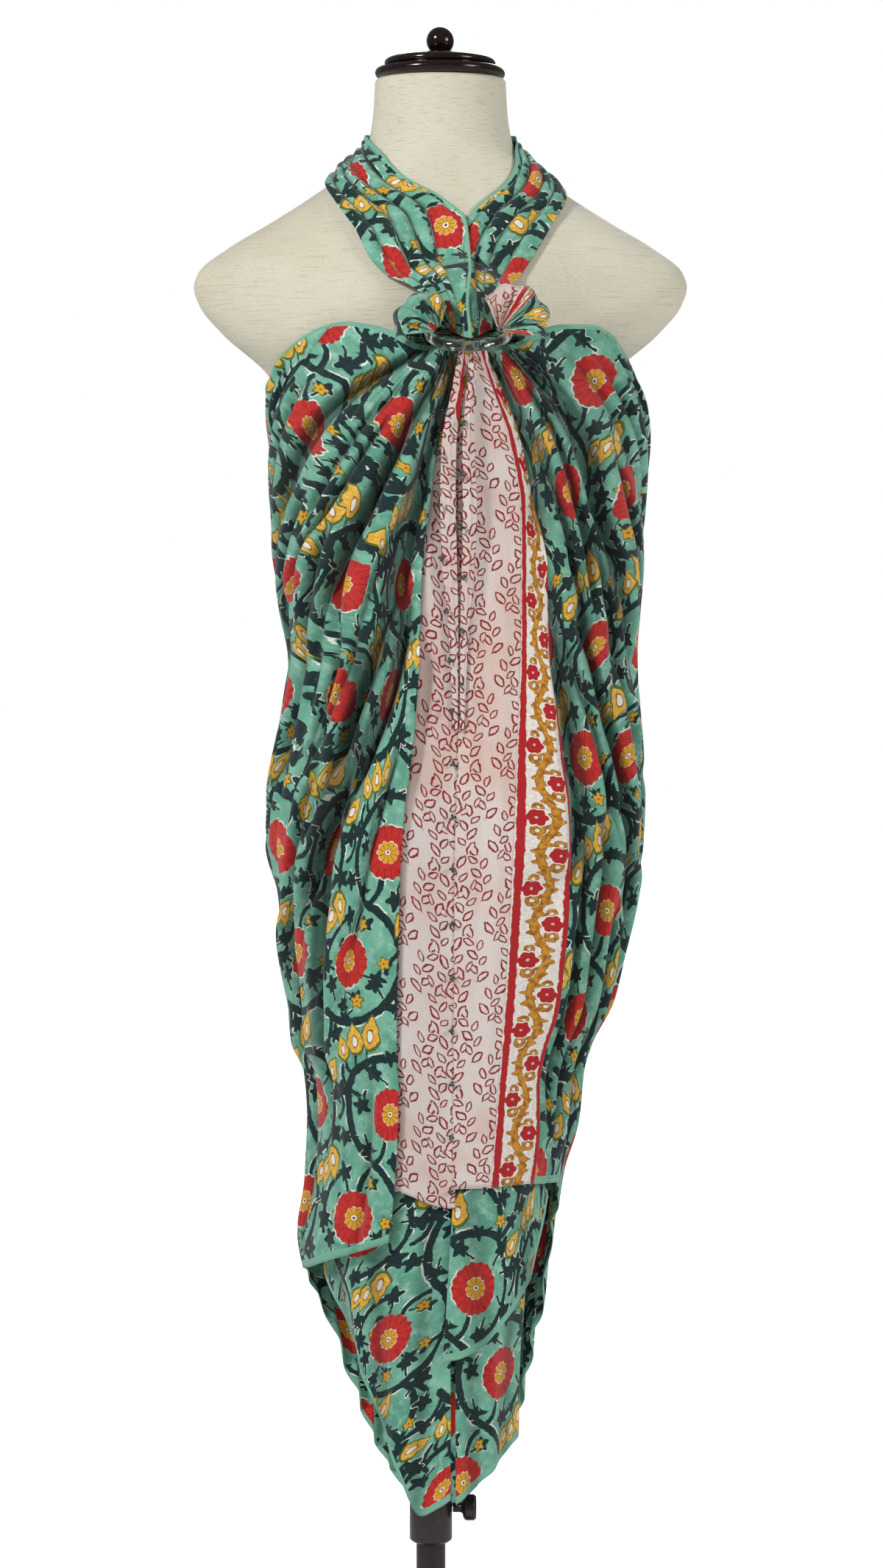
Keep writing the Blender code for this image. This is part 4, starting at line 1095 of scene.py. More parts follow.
def cloth_material(name, zone):
    """Printed plain-weave cotton, of the part of the cloth that shows: its field, a corner or its ends."""
    paint = Paint(name, 0.82, Sheen_Weight=0.25, Sheen_Roughness=0.5, Specular_IOR_Level=0.25)
    place = paint.cloth_place()
    drift = paint.vector("SUBTRACT", paint.noise(place, 7.0, 2.0, 0.6, colour=True), (0.5, 0.5, 0.5))
    drawn_at = paint.vector("ADD", place, paint.scaled(drift, BLOCK_DRIFT))
    wear = paint.noise(place, 2.6, 3.0, 0.65)
    across, up, _ = paint.parts(place)
    rim, painted_shade, _ = paint.parts(paint.cloth_place("fold"))
    if zone == "ends":
        border = draw_border(paint, drawn_at, wear)
        made = paint.mixed((across - PANEL_WIDTH).inside(0.4), border, draw_pink(paint, drawn_at, wear))
    else:
        made = draw_green(paint, drawn_at, wear)
        edge = rim + (wear - 0.5) * 1.2
        stitches = (edge - HEM_STITCHES).size() - 0.2
        made = paint.printed(made, (edge - HEM_WIDTH, 0.5, HEM_GREEN), (stitches, 0.2, GROUND_DEEP))
    if zone == "corner":
        made = paint.mixed((across - PANEL_WIDTH - BORDER_WIDTH - 1.0).inside(0.4), made, BORDER_RED)
    warp = (across * (2.0 * math.pi / WEAVE_PITCH)).sine()
    weft = (up * (2.0 * math.pi / WEAVE_PITCH)).sine()
    slub_up = paint.noise(paint.joined(across * 3.2, up * 0.16), 1.0, 2.0, 0.6)
    slub_across = paint.noise(paint.joined(across * 0.16, up * 3.2), 1.0, 2.0, 0.6)
    threads = slub_up + slub_across
    # Slub tone of the threads, times painted shade that darkens the fold valleys down to VALLEY_SHADE
    shade = threads.spread(0.7, 1.3, 0.90, 1.08) * painted_shade.spread(0.0, 1.0, 1.0, VALLEY_SHADE)
    made = paint.scaled(made, shade)
    paint.relief(warp * weft * 0.35 + threads * 1.5, 0.35, 0.25)
    return paint.finish(made, threads.spread(0.6, 1.4, 0.74, 0.9))


def jersey_material():
    paint = Paint("jersey_cover", 0.9, Sheen_Weight=0.2, Specular_IOR_Level=0.2)
    x, y, z = paint.parts(paint.object_place())
    turn = paint.calc("ARCTAN2", y, x) * 90.0
    slubs = paint.noise(paint.joined(turn * 0.05, z * 0.9), 1.0, 3.0, 0.65)
    fine = paint.noise(paint.joined(turn * 0.5, z * 2.4), 1.0, 2.0, 0.6)
    pool = paint.noise(paint.joined(x, z, y), 70.0, 2.0, 0.5, flat=False)
    base = paint.mixed(pool.spread(0.35, 0.65), colour(208, 202, 180), colour(218, 213, 193))
    made = paint.mixed(slubs.spread(0.54, 0.74), base, colour(192, 183, 160))
    made = paint.mixed(fine.spread(0.56, 0.75), made, colour(229, 226, 210))
    paint.relief(slubs * 0.8 + fine, 0.35, 0.3)
    return paint.finish(made)


def wood_material():
    paint = Paint("lacquered_wood", 0.14, Specular_IOR_Level=0.4)
    x, y, z = paint.parts(paint.object_place())
    grain = paint.noise(paint.joined(x, y * 0.12, z * 0.5), 3.0, 4.0, 0.6, flat=False)
    made = paint.mixed(grain.spread(0.35, 0.7), colour(16, 7, 6), colour(38, 16, 12))
    paint.relief(grain, 0.05, 0.2)
    return paint.finish(made, grain.spread(0.3, 0.7, 0.10, 0.22))


def enamel_material():
    paint = Paint("enamelled_steel", 0.3, Metallic=0.3, Coat_Weight=0.3, Coat_Roughness=0.2)
    place = paint.object_place()
    speck = paint.noise(place, 2.0, 3.0, 0.6, flat=False)
    made = paint.mixed(speck.spread(0.4, 0.7), colour(33, 27, 26), colour(46, 38, 36))
    paint.relief(speck, 0.1, 0.1)
    return paint.finish(made, speck.spread(0.3, 0.7, 0.26, 0.4))


def resin_material():
    clear = {"Transmission_Weight": 1.0, "IOR": 1.3, "Coat_Weight": 1.0, "Coat_Roughness": 0.02}
    paint = Paint("clear_resin_ring", 0.04, **clear)
    flow = paint.noise(paint.object_place(), 14.0, 2.0, 0.5, flat=False)
    paint.relief(flow, 0.08, 0.6)
    return paint.finish((0.86, 0.94, 0.93, 1.0), flow.spread(0.3, 0.7, 0.02, 0.07))


def bead_material():
    paint = Paint("bead_glass", 0.12, Coat_Weight=0.5)
    hue = paint.noise(paint.object_place(), 9.0, 1.0, 0.5, flat=False)
    made = paint.mixed(hue.spread(0.4, 0.62), colour(14, 26, 30), colour(40, 74, 62))
    return paint.finish(made)


MATERIALS = {
    "green": cloth_material("print_field", "field"),
    "corner_field": cloth_material("print_corner", "corner"),
    "ends": cloth_material("print_ends", "ends"),
    "jersey": jersey_material(),
    "wood": wood_material(),
    "enamel": enamel_material(),
    "resin": resin_material(),
    "bead": bead_material(),
}


def piece(name, mesh, material, nodes):
    """A finished piece: it rides on the one body and stands for its solids."""
    if material == "corner":
        mesh.materials.append(MATERIALS["corner_field"])
        mesh.materials.append(MATERIALS["ends"])
        places = np.zeros(2 * len(mesh.loops))
        mesh.uv_layers["cloth"].data.foreach_get("uv", places)
        starts = np.zeros(len(mesh.polygons), dtype=np.int32)
        mesh.polygons.foreach_get("loop_start", starts)
        at_end = places[0::2][starts] < (PANEL_WIDTH + BORDER_WIDTH) * MM
        mesh.polygons.foreach_set("material_index", at_end.astype(np.int32))
    else:
        mesh.materials.append(MATERIALS[material])
    mesh.polygons.foreach_set("use_smooth", [True] * len(mesh.polygons))
    thing = bpy.data.objects.new(name, mesh)
    bpy.context.scene.collection.objects.link(thing)
    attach(thing, "root")
    if nodes:
        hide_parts(*nodes)
    return thing


def mended(mesh, fill=0, weld=False, turned_to=None):
    """A mesh with its open ends filled or its seam welded, turned as told, its faces facing outward."""
    shape = bmesh.new()
    shape.from_mesh(mesh)
    if fill:
        bmesh.ops.holes_fill(shape, edges=shape.edges, sides=fill)
    if weld:
        bmesh.ops.remove_doubles(shape, verts=shape.verts, dist=0.01 * MM)
    if turned_to is not None:
        bmesh.ops.transform(shape, matrix=turned_to, verts=shape.verts)
    bmesh.ops.recalc_face_normals(shape, faces=shape.faces)
    shape.to_mesh(mesh)
    shape.free()
    return mesh


def grid_mesh(name, points, places=None, closed=False, shift=FORM_X):
    """Joins rows of points into a sheet, or a tube when each row closes on itself."""
    down, across = points.shape[:2]
    flat = (points.reshape(-1, 3) + np.array((shift, 0.0, 0.0))) * MM
    i, j = np.meshgrid(np.arange(down - 1), np.arange(across if closed else across - 1), indexing="ij")
    a = (i * across + j).ravel()
    b = (i * across + (j + 1) % across).ravel()
    faces = np.stack((a, b, b + across, a + across), axis=1)
    mesh = bpy.data.meshes.new(name)
    mesh.from_pydata(flat.tolist(), [], faces.tolist())
    if places is not None:
        corners = np.zeros(len(mesh.loops), dtype=np.int32)
        mesh.loops.foreach_get("vertex_index", corners)
        # The fold layer holds how far the hem is and the painted shade of the fold valleys
        for layer_name, values in (("cloth", places[..., :2]), ("fold", places[..., 2:])):
            layer = mesh.uv_layers.new(name=layer_name)
            layer.data.foreach_set("uv", (values.reshape(-1, 2)[corners] * MM).ravel())
    mesh.update()
    return mesh


FAR_FROM_HEM = 500.0


def cloth(name, points, places, material, nodes, flip=False):
    """A thin shell of cloth with its flat cloth coordinates."""
    if places.shape[-1] == 2:
        plain = np.stack((np.full(places.shape[:2], FAR_FROM_HEM), np.zeros(places.shape[:2])), axis=-1)
        places = np.concatenate((places, plain), axis=-1)
    if flip:
        points, places = points[:, ::-1], places[:, ::-1]
    thing = piece(name, grid_mesh(name, points, places), material, nodes)
    wall = thing.modifiers.new("thickness", "SOLIDIFY")
    wall.thickness = CLOTH_WALL * MM
    wall.offset = 0.0
    return thing


def steps(start, end, count):
    return np.linspace(start, end, max(int(round((count - 1) * FINE)) + 1, 3))


def full_turn(count):
    return np.radians(np.linspace(0.0, 360.0, count + 1)[:-1])


def fall_steps(count):
    """Steps from the top edge to the hem, closer together at the gathers."""
    t = steps(0.0, 1.0, count)
    return t * (0.55 + 0.45 * t)


# What each piece's print starts from: its places across and up the cloth, with nothing off its hem distance
# and its painted shade
PRINT_LEFT = (-44.0, 719.0, 0.0, 0.0)
PRINT_RIGHT = (84.0, 668.0, 0.0, 0.0)
CALM_RIGHT = 0.45


def build_wrap():
    """The green fronts and the back; gives the right front's points too, for the panel that meets it."""
    ts = fall_steps(200)
    points, places = wrap_grid(WRAP_LEFT_ROWS, FOLDS_LEFT, CREASES_LEFT, steps(0.0, LEFT_SIDE_U, 190), ts)
    cloth(
        "field_front_left", points, places - np.array(PRINT_LEFT), "green", ["wrap_front_left"],
        flip=True,
    )
    right_us = steps(0.0, RIGHT_SIDE_U, 190)
    front_right, places = wrap_grid(WRAP_RIGHT_ROWS, FOLDS_RIGHT, CREASES_RIGHT, right_us, ts, CALM_RIGHT)
    cloth(
        "field_front_right", front_right, places - np.array(PRINT_RIGHT), "green", ["wrap_front_right"],
    )
    left_us, right_us = steps(LEFT_SIDE_U, 1.0, 90), steps(RIGHT_SIDE_U, 1.0, 90)
    left, left_places = wrap_grid(WRAP_LEFT_ROWS, FOLDS_LEFT, CREASES_BACK, left_us, ts)
    right, right_places = wrap_grid(WRAP_RIGHT_ROWS, FOLDS_RIGHT, CREASES_BACK, right_us, ts)
    left_places[..., 0] -= left_places[:, -1:, 0]
    right_places[..., 0] -= right_places[:, -1:, 0]
    points = np.concatenate((left, right[:, ::-1][:, 1:]), axis=1)
    places = np.concatenate((left_places, right_places[:, ::-1][:, 1:]), axis=1)
    cloth(
        "field_back", points, places, "green", ["wrap_back"],
        flip=True,
    )
    return front_right


def front_point(x, z, inset):
    """The point of the mean surface's front at a given x, moved inward."""
    left, right, front, _, power = [table(DRAPE_ROWS, name, z) for name in DRAPE_COLUMNS[1:]]
    side = np.where(x < 0.0, left, right)
    y = -front * (1.0 - np.minimum(np.abs(x) / side, 0.99) ** power) ** (1.0 / power)
    return stack(x, y + inset, z)


def panel_edge(rows, x, z):
    """Points of a panel's front, as far in as its own table says."""
    return front_point(x, z, table(rows, "inset", z))


def panel_grid(rows, across, down, bow=0.0):
    """A hanging strip's points, bowed forward across, with their shares across and heights."""
    z = steps(rows[-1][0], rows[0][0], down)[:, None]
    s = steps(0.0, 1.0, across)[None, :]
    left = table(rows, "left_x", z)
    right = table(rows, "right_x", z)
    x = left + (right - left) * s
    points = panel_edge(rows, x, z + 0.0 * x)
    points[..., 1] -= bow * (right - left) * (1.0 - (2.0 * s - 1.0) ** 2)
    return points, s, z


def soft_wave(points, s, z, waves):
    """Soft lengthwise folds on a hanging strip: where across, how wide, how deep."""
    for place, width, depth, low, high in waves:
        fade = smooth((z - low) / 90.0) * smooth((high - z) / 90.0)
        points[..., 1] -= depth * fade * np.exp(-(((s - place) / width) ** 2))
    return points


def rise_from_foot(points):
    """Lengths measured up from the lower edge of a hanging piece, so that its print stays true to size."""
    lengths = path_length(points, 0)
    return lengths[-1:] - lengths


WAVE_COLUMNS = ("place", "width", "depth", "low", "high")
WAVES_INNER = named(WAVE_COLUMNS, (
    (0.28, 0.1, 1.4, 600, 1250),
    (0.62, 0.08, 1.2, 640, 1150),
))
WAVES_OUTER = named(WAVE_COLUMNS, (
    (0.22, 0.07, 1.6, 980, 1330),
    (0.45, 0.09, -1.2, 760, 1240),
    (0.75, 0.1, 1.4, 700, 1180),
))
# The share of the border band that hangs flat before it bends into the right front
BAND_FLAT = 0.78
# How far past the cloth's end the print of a panel and of a folded strip goes near the ring
PANEL_TURN = 70.0
STRIP_COLUMNS = ("name", "node", "rows", "turn")
STRIPS = named(STRIP_COLUMNS, (
    ("edge_fold_inner", "end_fold_left", FOLD_STRIP_LEFT_ROWS, 46),
    ("edge_fold_outer", "end_fold_right", FOLD_STRIP_RIGHT_ROWS, 0),
))


def build_inner_panel():
    """The pink end that hangs straight, its foot a little slanted, with painted shadow along its left edge
    under the front.
    """
    points, s, z = panel_grid(END_LEFT_ROWS, 40, 230)
    fall = smooth((z - 900.0) / -250.0)
    points[..., 2] += (14.0 * smooth((8.0 - points[..., 0]) / 50.0) - 4.0) * fall
    points = soft_wave(points, s, z, WAVES_INNER)
    points[..., 0] += 3.2 * smooth((s - 0.7) / 0.3)
    widths = path_length(points, 1)
    depth = widths[:, -1:] - widths + PANEL_TURN * smooth((z - 1212.0) / 70.0)
    # Painted shadow along the left edge where the green front overhangs, and a faint painted shade over the
    # middle
    shade = np.exp(-((s / 0.09) ** 2)) + 0.12 * smooth(s / 0.6) * smooth((1.0 - s) / 0.2) + 0.0 * z
    places = np.stack((depth, rise_from_foot(points), np.full(depth.shape, FAR_FROM_HEM), shade), axis=-1)
    cloth(
        "end_panel_inner", points, places, "ends", ["end_panel_left"],
    )


def build_outer_panel(front_right):
    """The other pink end, and the border that joins it to the right front's edge."""
    end = front_right[:, 0]
    z = end[:, 2]
    start = panel_edge(END_RIGHT_ROWS, table(END_RIGHT_ROWS, "left_x", z), z)
    middle = panel_edge(END_RIGHT_ROWS, table(END_RIGHT_ROWS, "right_x", z), z)
    s = steps(0.0, 1.0, 34)[None, :, None]
    pink = soft_wave(start[:, None] + (middle - start)[:, None] * s, s[..., 0], z[:, None], WAVES_OUTER)
    widths = path_length(pink, 1)
    places = np.stack((PANEL_WIDTH - (widths[:, -1:] - widths), rise_from_foot(pink)), axis=-1)
    cloth(
        "end_panel_outer", pink, places, "ends", ["end_panel_right"],
    )
    span = np.linalg.norm(end - middle, axis=-1, keepdims=True)
    before = end - unit(front_right[:, 1] - end) * span * (1.0 - BAND_FLAT)
    s = steps(0.0, 1.0, 24)[None, :, None]
    low = middle[:, None] + (before - middle)[:, None] * np.minimum(s / BAND_FLAT, 1.0)
    high = before[:, None] + (end - before)[:, None] * np.clip((s - BAND_FLAT) / (1.0 - BAND_FLAT), 0.0, 1.0)
    band = np.where(s < BAND_FLAT, low, high)
    widths = path_length(band, 1)
    widths = widths * BORDER_WIDTH / np.maximum(widths[:, -1:], 25.0)
    places = np.stack((PANEL_WIDTH + widths, rise_from_foot(band)), axis=-1)
    cloth(
        "border_band", band, places, "ends", ["border_right"],
    )


def build_strips():
    """The two beaded edges that fold forward below the ring."""
    for name, node, rows, turn in STRIPS:
        points, s, z = panel_grid(rows, 18, 120, 0.08)
        points[..., 1] -= 1.3 * np.exp(-(((s - 0.5) / 0.16) ** 2)) * smooth((z - 1040.0) / 60.0)
        depth = path_length(points, 1) + turn * smooth((z - 1200.0) / 90.0) + 1.0
        places = np.stack((depth, rise_from_foot(points) + 40.0), axis=-1)
        cloth(name, points, places, "ends", [node])


TAIL_SHAPE_COLUMNS = ("name", "node", "rows", "across", "down", "waves", "depth", "curl")
TAIL_SHAPES = named(TAIL_SHAPE_COLUMNS, (
    ("tail_inner_left", "tail_left", TAIL_LEFT_ROWS, 90, 110, 3, 5.0, 0.0),
    ("tail_flap_right", "tail_right_upper", TAIL_RIGHT_UPPER_ROWS, 70, 80, 2, 1.2, 7.0),
    ("tail_inner_right", "tail_right_lower", TAIL_RIGHT_LOWER_ROWS, 70, 100, 2, 4.0, 0.0),
))
TAIL_SHEET_COLUMNS = ("flat", "area", "start_across", "start_up")
TAIL_SHEETS = named(TAIL_SHEET_COLUMNS, (
    ((0.135, 0.32), 0.029, -58.0, 618.0),
    ((0.10, 0.19), 0.0136, 31.0, 574.0),
    ((0.11, 0.31), 0.027, 62.0, 498.0),
))


def tail_grid(rows, across, down, waves, depth, curl):
    """A tail's points, with its places across and up the cloth and the painted shade in its fold valleys and
    along its top.
    """
    s = steps(0.0, 1.0, across)[None, :]
    t = steps(0.0, 1.0, down)[:, None]

    def column(name):
        return table(rows, name, s)

    angle = column("top_angle") + (column("low_angle") - column("top_angle")) * t
    z = TAIL_TOP + (column("low_z") - TAIL_TOP) * t
    inset = column("top_inset") + (column("low_inset") - column("top_inset")) * t
    inward = 0.5 * (1.0 - np.cos(2.0 * np.pi * (waves * s + 0.10 * np.sin(5.0 * s + 3.0 * t))))
    inset = inset + depth * t * inward
    # Painted shade in the valleys of the folds, and along the top under the hems above
    painted_shade = 0.6 * inward ** 3 * smooth(t / 0.3) + 0.45 * np.exp(-((t / 0.16) ** 2))
    small = np.sin(2.0 * np.pi * (waves * 2.3 * s + 0.3)) * smooth(s / 0.1) * smooth((1.0 - s) / 0.1)
    inset = inset + 0.5 * t * small
    inset = inset - curl * smooth((t - 0.55) / 0.45) * smooth((s - 0.02) / 0.1)
    points = drape_point(angle, z) - drape_normal(angle, z) * inset[..., None]
    return points, np.stack((arc_place(angle, z), z, painted_shade), axis=-1)


def build_tails():
    for tail, sheet in zip(TAIL_SHAPES, TAIL_SHEETS):
        points, places = tail_grid(tail.rows, tail.across, tail.down, tail.waves, tail.depth, tail.curl)
        around, up, painted_shade = places[..., 0], places[..., 1], places[..., 2]
        spare = 1.5 * (path_length(points, 1) - (around - around[:, :1]))
        across = around + spare - sheet.start_across
        places = np.stack((across, up - sheet.start_up, rise_from_foot(points), painted_shade), axis=-1)
        cloth(
            tail.name, points, places, "green", [tail.node],
        )


def strap_grid(rows, side, across, along):
    """A strap's points from the ring to the nape, the cloth that its creases hide and the painted shade in
    their valleys.
    """
    t = steps(0.0, 1.0, along)[:, None]
    s = steps(0.0, 1.0, across)[None, :]

    def column(name):
        return table(rows, name, t)

    angle = column("inner_angle") + (column("outer_angle") - column("inner_angle")) * s
    z = column("inner_z") + (column("outer_z") - column("inner_z")) * s
    lift = column("lift") + 0.0 * s
    grow = smooth(t / 0.3) * smooth((1.06 - t) / 0.25)
    hidden = 0.0 * s * t
    painted_shade = 0.0 * s * t
    for place, height, width, drift in STRAP_CREASES_LEFT if side < 0.0 else STRAP_CREASES_RIGHT:
        away = (s - place - drift * (t - 0.4)) / width
        ridge = np.where(away > 0.0, np.exp(-(away ** 2)), np.exp(-((away / 0.3) ** 2)))
        valley = np.exp(-(((away + 0.5) / 0.16) ** 2))
        lift = lift + height * grow * (ridge - 0.22 * valley)
        hidden = hidden + 6.5 * height * smooth((away + 0.6) / 0.25)
        # Painted shade in each crease's valley, fading in near the ring
        painted_shade = np.maximum(painted_shade, 0.22 * height * valley * smooth(t / 0.2))
    if side < 0.0:
        over = (1.0 - smooth((s - 0.02) / 0.3)) * smooth((t - 0.05) / 0.1) * (1.0 - smooth((t - 0.36) / 0.12))
        angle = angle + 5.0 * over
        lift = lift + 5.0 * over
    on_form = form_point(angle, z) + form_normal(angle, z) * lift[..., None]
    gather_y = RING_CENTRE.y - 11.0 * np.cos(np.pi * s) - 3.0
    gather_y = gather_y - 1.8 * (1.0 - s) * (side < 0.0)
    gather_x = RING_CENTRE.x + side * 23.9 * s + 2.5 * (side < 0.0)
    gather_z = RING_CENTRE.z + math.tan(math.radians(RING_TILT)) * (gather_y - RING_CENTRE.y) + 1.0
    gather = stack(gather_x + 0.0 * t, gather_y + 0.0 * t, gather_z + 0.0 * t)
    points = gather + (on_form - gather) * smooth((t - 0.03) / 0.2)[..., None]
    points[..., 2] = gather[..., 2] + (on_form[..., 2] - gather[..., 2]) * smooth((t + 0.03) / 0.2)
    return points, hidden, np.clip(painted_shade, 0.0, 1.0)


# The straps' print lies askew, from the cloth's corner; their reach and middle count from the same corner
STRAP_SLANT = math.radians(36.0)
STRAP_REACH = 70.0
STRAP_MIDDLE = 40.0
CLOTH_WIDE = 1100.0
STRAP_HEM = 3.9


def build_straps():
    for name, node, rows, side, flip in (
        ("strap_band_left", "strap_left", STRAP_LEFT_ROWS, -1.0, False),
        ("strap_band_right", "strap_right", STRAP_RIGHT_ROWS, 1.0, True),
    ):
        points, hidden, painted_shade = strap_grid(rows, side, 110, 170)
        widths = path_length(points, 1)
        lengths = path_length(points, 0).mean(axis=1)[:, None]
        reach = lengths[-1] - lengths + STRAP_REACH
        across = widths - 0.5 * widths[:, -1:] + hidden - STRAP_MIDDLE
        u = reach * math.cos(STRAP_SLANT) - across * math.sin(STRAP_SLANT)
        v = CLOTH_WIDE - reach * math.sin(STRAP_SLANT) - across * math.cos(STRAP_SLANT)
        places = np.stack((u, v, widths + STRAP_HEM, painted_shade), axis=-1)
        cloth(
            name, points, places, "corner", [node],
            flip=flip,
        )


def puff_grid(rows, root, around, out):
    """A puff's points, round its root and outward, with their shares of both ways."""
    share = steps(0.0, 1.0, around)[:, None]
    t = steps(0.0, 1.0, out)[None, :]
    turn = np.radians(table(rows, "turn", share))
    reach = table(rows, "reach", share)
    pleat = np.cos(2.0 * np.pi * PUFF_PLEATS * share)
    along = 3.5 + (reach - 3.5) * np.sin(0.5 * np.pi * t) * (1.0 + 0.04 * pleat * t)
    swell = PUFF_BULGE * np.sin(np.pi * t ** 1.15) + 2.4 * pleat * np.sin(np.pi * t)
    swell = swell + 1.5 * np.sin(2.0 * np.pi * (9.0 * share + 0.2)) * np.sin(np.pi * t)
    points = stack(along * np.cos(turn), -swell, along * np.sin(turn)) + np.array(root)
    points[..., 1] += PUFF_CURL * t * t
    return points, share, t


# Which part of the print each puff shows: its depth from the cloth's end at shares of the way round the puff
PUFFS_COLUMNS = ("name", "node", "rows", "root", "slot", "flip", "shares", "depths", "lean", "up")
PUFFS = named(PUFFS_COLUMNS, (
    (
        "puff_band_left", "puff_left", PUFF_LEFT_ROWS, PUFF_ROOT_LEFT, "cloth_green", False,
        (0.0, 1.0), (120.0, 200.0), 0.15, 352.0,
    ),
    (
        "puff_band_right", "puff_right", PUFF_RIGHT_ROWS, PUFF_ROOT_RIGHT, "cloth_pink", True,
        (0.0, 0.44, 0.49, 0.55, 1.0), (26.0, 52.5, 57.0, 86.0, 165.0), 0.0, 340.0,
    ),
))


def build_puffs():
    for puff in PUFFS:
        points, share, t = puff_grid(puff.rows, puff.root, 110, 50)
        local = points - np.array(puff.root)
        u = np.interp(share, puff.shares, puff.depths) + puff.lean * local[..., 0]
        v = puff.up + 46.0 * t + 0.3 * local[..., 2]
        cloth(
            puff.name, points, np.stack((u, v), axis=-1), "corner", [puff.node],
            flip=puff.flip,
        )


def build_neck_tie():
    centre = np.array((0.0, 75.0, 1497.0))
    up = np.radians(steps(-84.0, 84.0, 50))[:, None]
    turn = full_turn(96)[None, :]
    rib = 1.0 + 0.07 * np.sin(3.0 * turn + 2.2 * up) + 0.03 * np.sin(9.0 * turn + 5.0 * up + 1.0)
    x = 22.0 * np.cos(turn) * np.cos(up) ** 0.7 * rib
    y = 13.5 * np.sin(turn) * np.cos(up) ** 0.8 * rib
    points = stack(x, y, 17.0 * np.sin(up) + 0.0 * turn) + centre
    across = 150.0 + 40.0 * np.sin(turn + 1.6 * up)
    places = stack(across, 700.0 + 40.0 * up + 20.0 * np.cos(turn), FAR_FROM_HEM)
    # Painted shade in the hollows between the knot's ribs
    places = np.concatenate((places, 0.6 * smooth(np.sin(3.0 * turn + 2.2 * up) * -1.6)[..., None]), axis=-1)
    mesh = mended(grid_mesh("nape_knot", points, places, closed=True), fill=200)
    piece("nape_knot", mesh, "green", ["neck_knot"])
    for name, node, side, drop in (
        ("corner_left", "tie_end_left", -1.0, 74.0),
        ("corner_right", "tie_end_right", 1.0, 62.0),
    ):
        t = steps(0.0, 1.0, 60)[:, None]
        s = steps(-1.0, 1.0, 44)[None, :]
        half = 7.0 + 17.0 * smooth(t * 1.2)
        x = side * (15.0 + 15.0 * t) + half * s
        z = 1480.4 - drop * t - 10.0 * t * side * s
        y = 77.0 + 18.0 * smooth(t * 1.3) + 2.5 * np.cos(3.0 * np.pi * s) * smooth(t * 2.0)
        points = stack(x, y, z)
        u = 6.0 + 62.4 * (1.0 - t) + half * (1.0 - side * s)
        v = 1040.0 - drop * t + 0.0 * s
        places = np.stack((u, v), axis=-1)
        cloth(name, points, places, "corner", [node])


def lathe(name, profile, material, nodes, segments, shift=0.0, turned_to=None):
    """A turned piece from its profile of radius and height; one that starts off the axis closes on itself."""
    if profile[0][0] > 0.0:
        profile = profile + profile[:1]
    radius, height = np.array(profile, float).T[..., None]
    turn = full_turn(segments)[None, :]
    points = stack(radius * np.cos(turn), radius * np.sin(turn), height)
    mesh = mended(grid_mesh(name, points, closed=True, shift=shift), weld=True, turned_to=turned_to)
    thing = piece(name, mesh, material, nodes)
    edge = thing.modifiers.new("edges", "BEVEL")
    edge.width = 0.4 * MM
    edge.segments = 2
    edge.limit_method = "ANGLE"
    edge.angle_limit = math.radians(38.0)
    return thing


def arc(centre_r, centre_z, radius, start, end, count=12):
    turns = np.radians(np.linspace(start, end, count))
    return [(centre_r + radius * math.cos(a), centre_z + radius * math.sin(a)) for a in turns]


BASE_RADIUS = 150.0
BASE_TOP = 30.0
TUBE_RADIUS = 12.4
ROD_RADIUS = 9.5
CLAMP_LOW = 340.0
CLAMP_SEAT = 357.0
CLAMP_TOP = 381.0
CLAMP_RADIUS = 18.0
SCREW_Z = 368.0


def build_form():
    z = np.concatenate(([FORM_FOOT], np.linspace(FORM_FOOT + 2.0, FORM_TOP - 2.0, 190), [FORM_TOP]))[:, None]
    inset = np.where((z < FORM_FOOT + 1.0) | (z > FORM_TOP - 1.0), -1.5, 0.0)
    angles = np.linspace(0.0, 360.0, 193)[:-1][None, :]
    points = form_point(angles, z, inset)
    mesh = mended(grid_mesh("dress_form", points, closed=True), fill=400)
    piece("dress_form", mesh, "jersey", ["form_torso"])


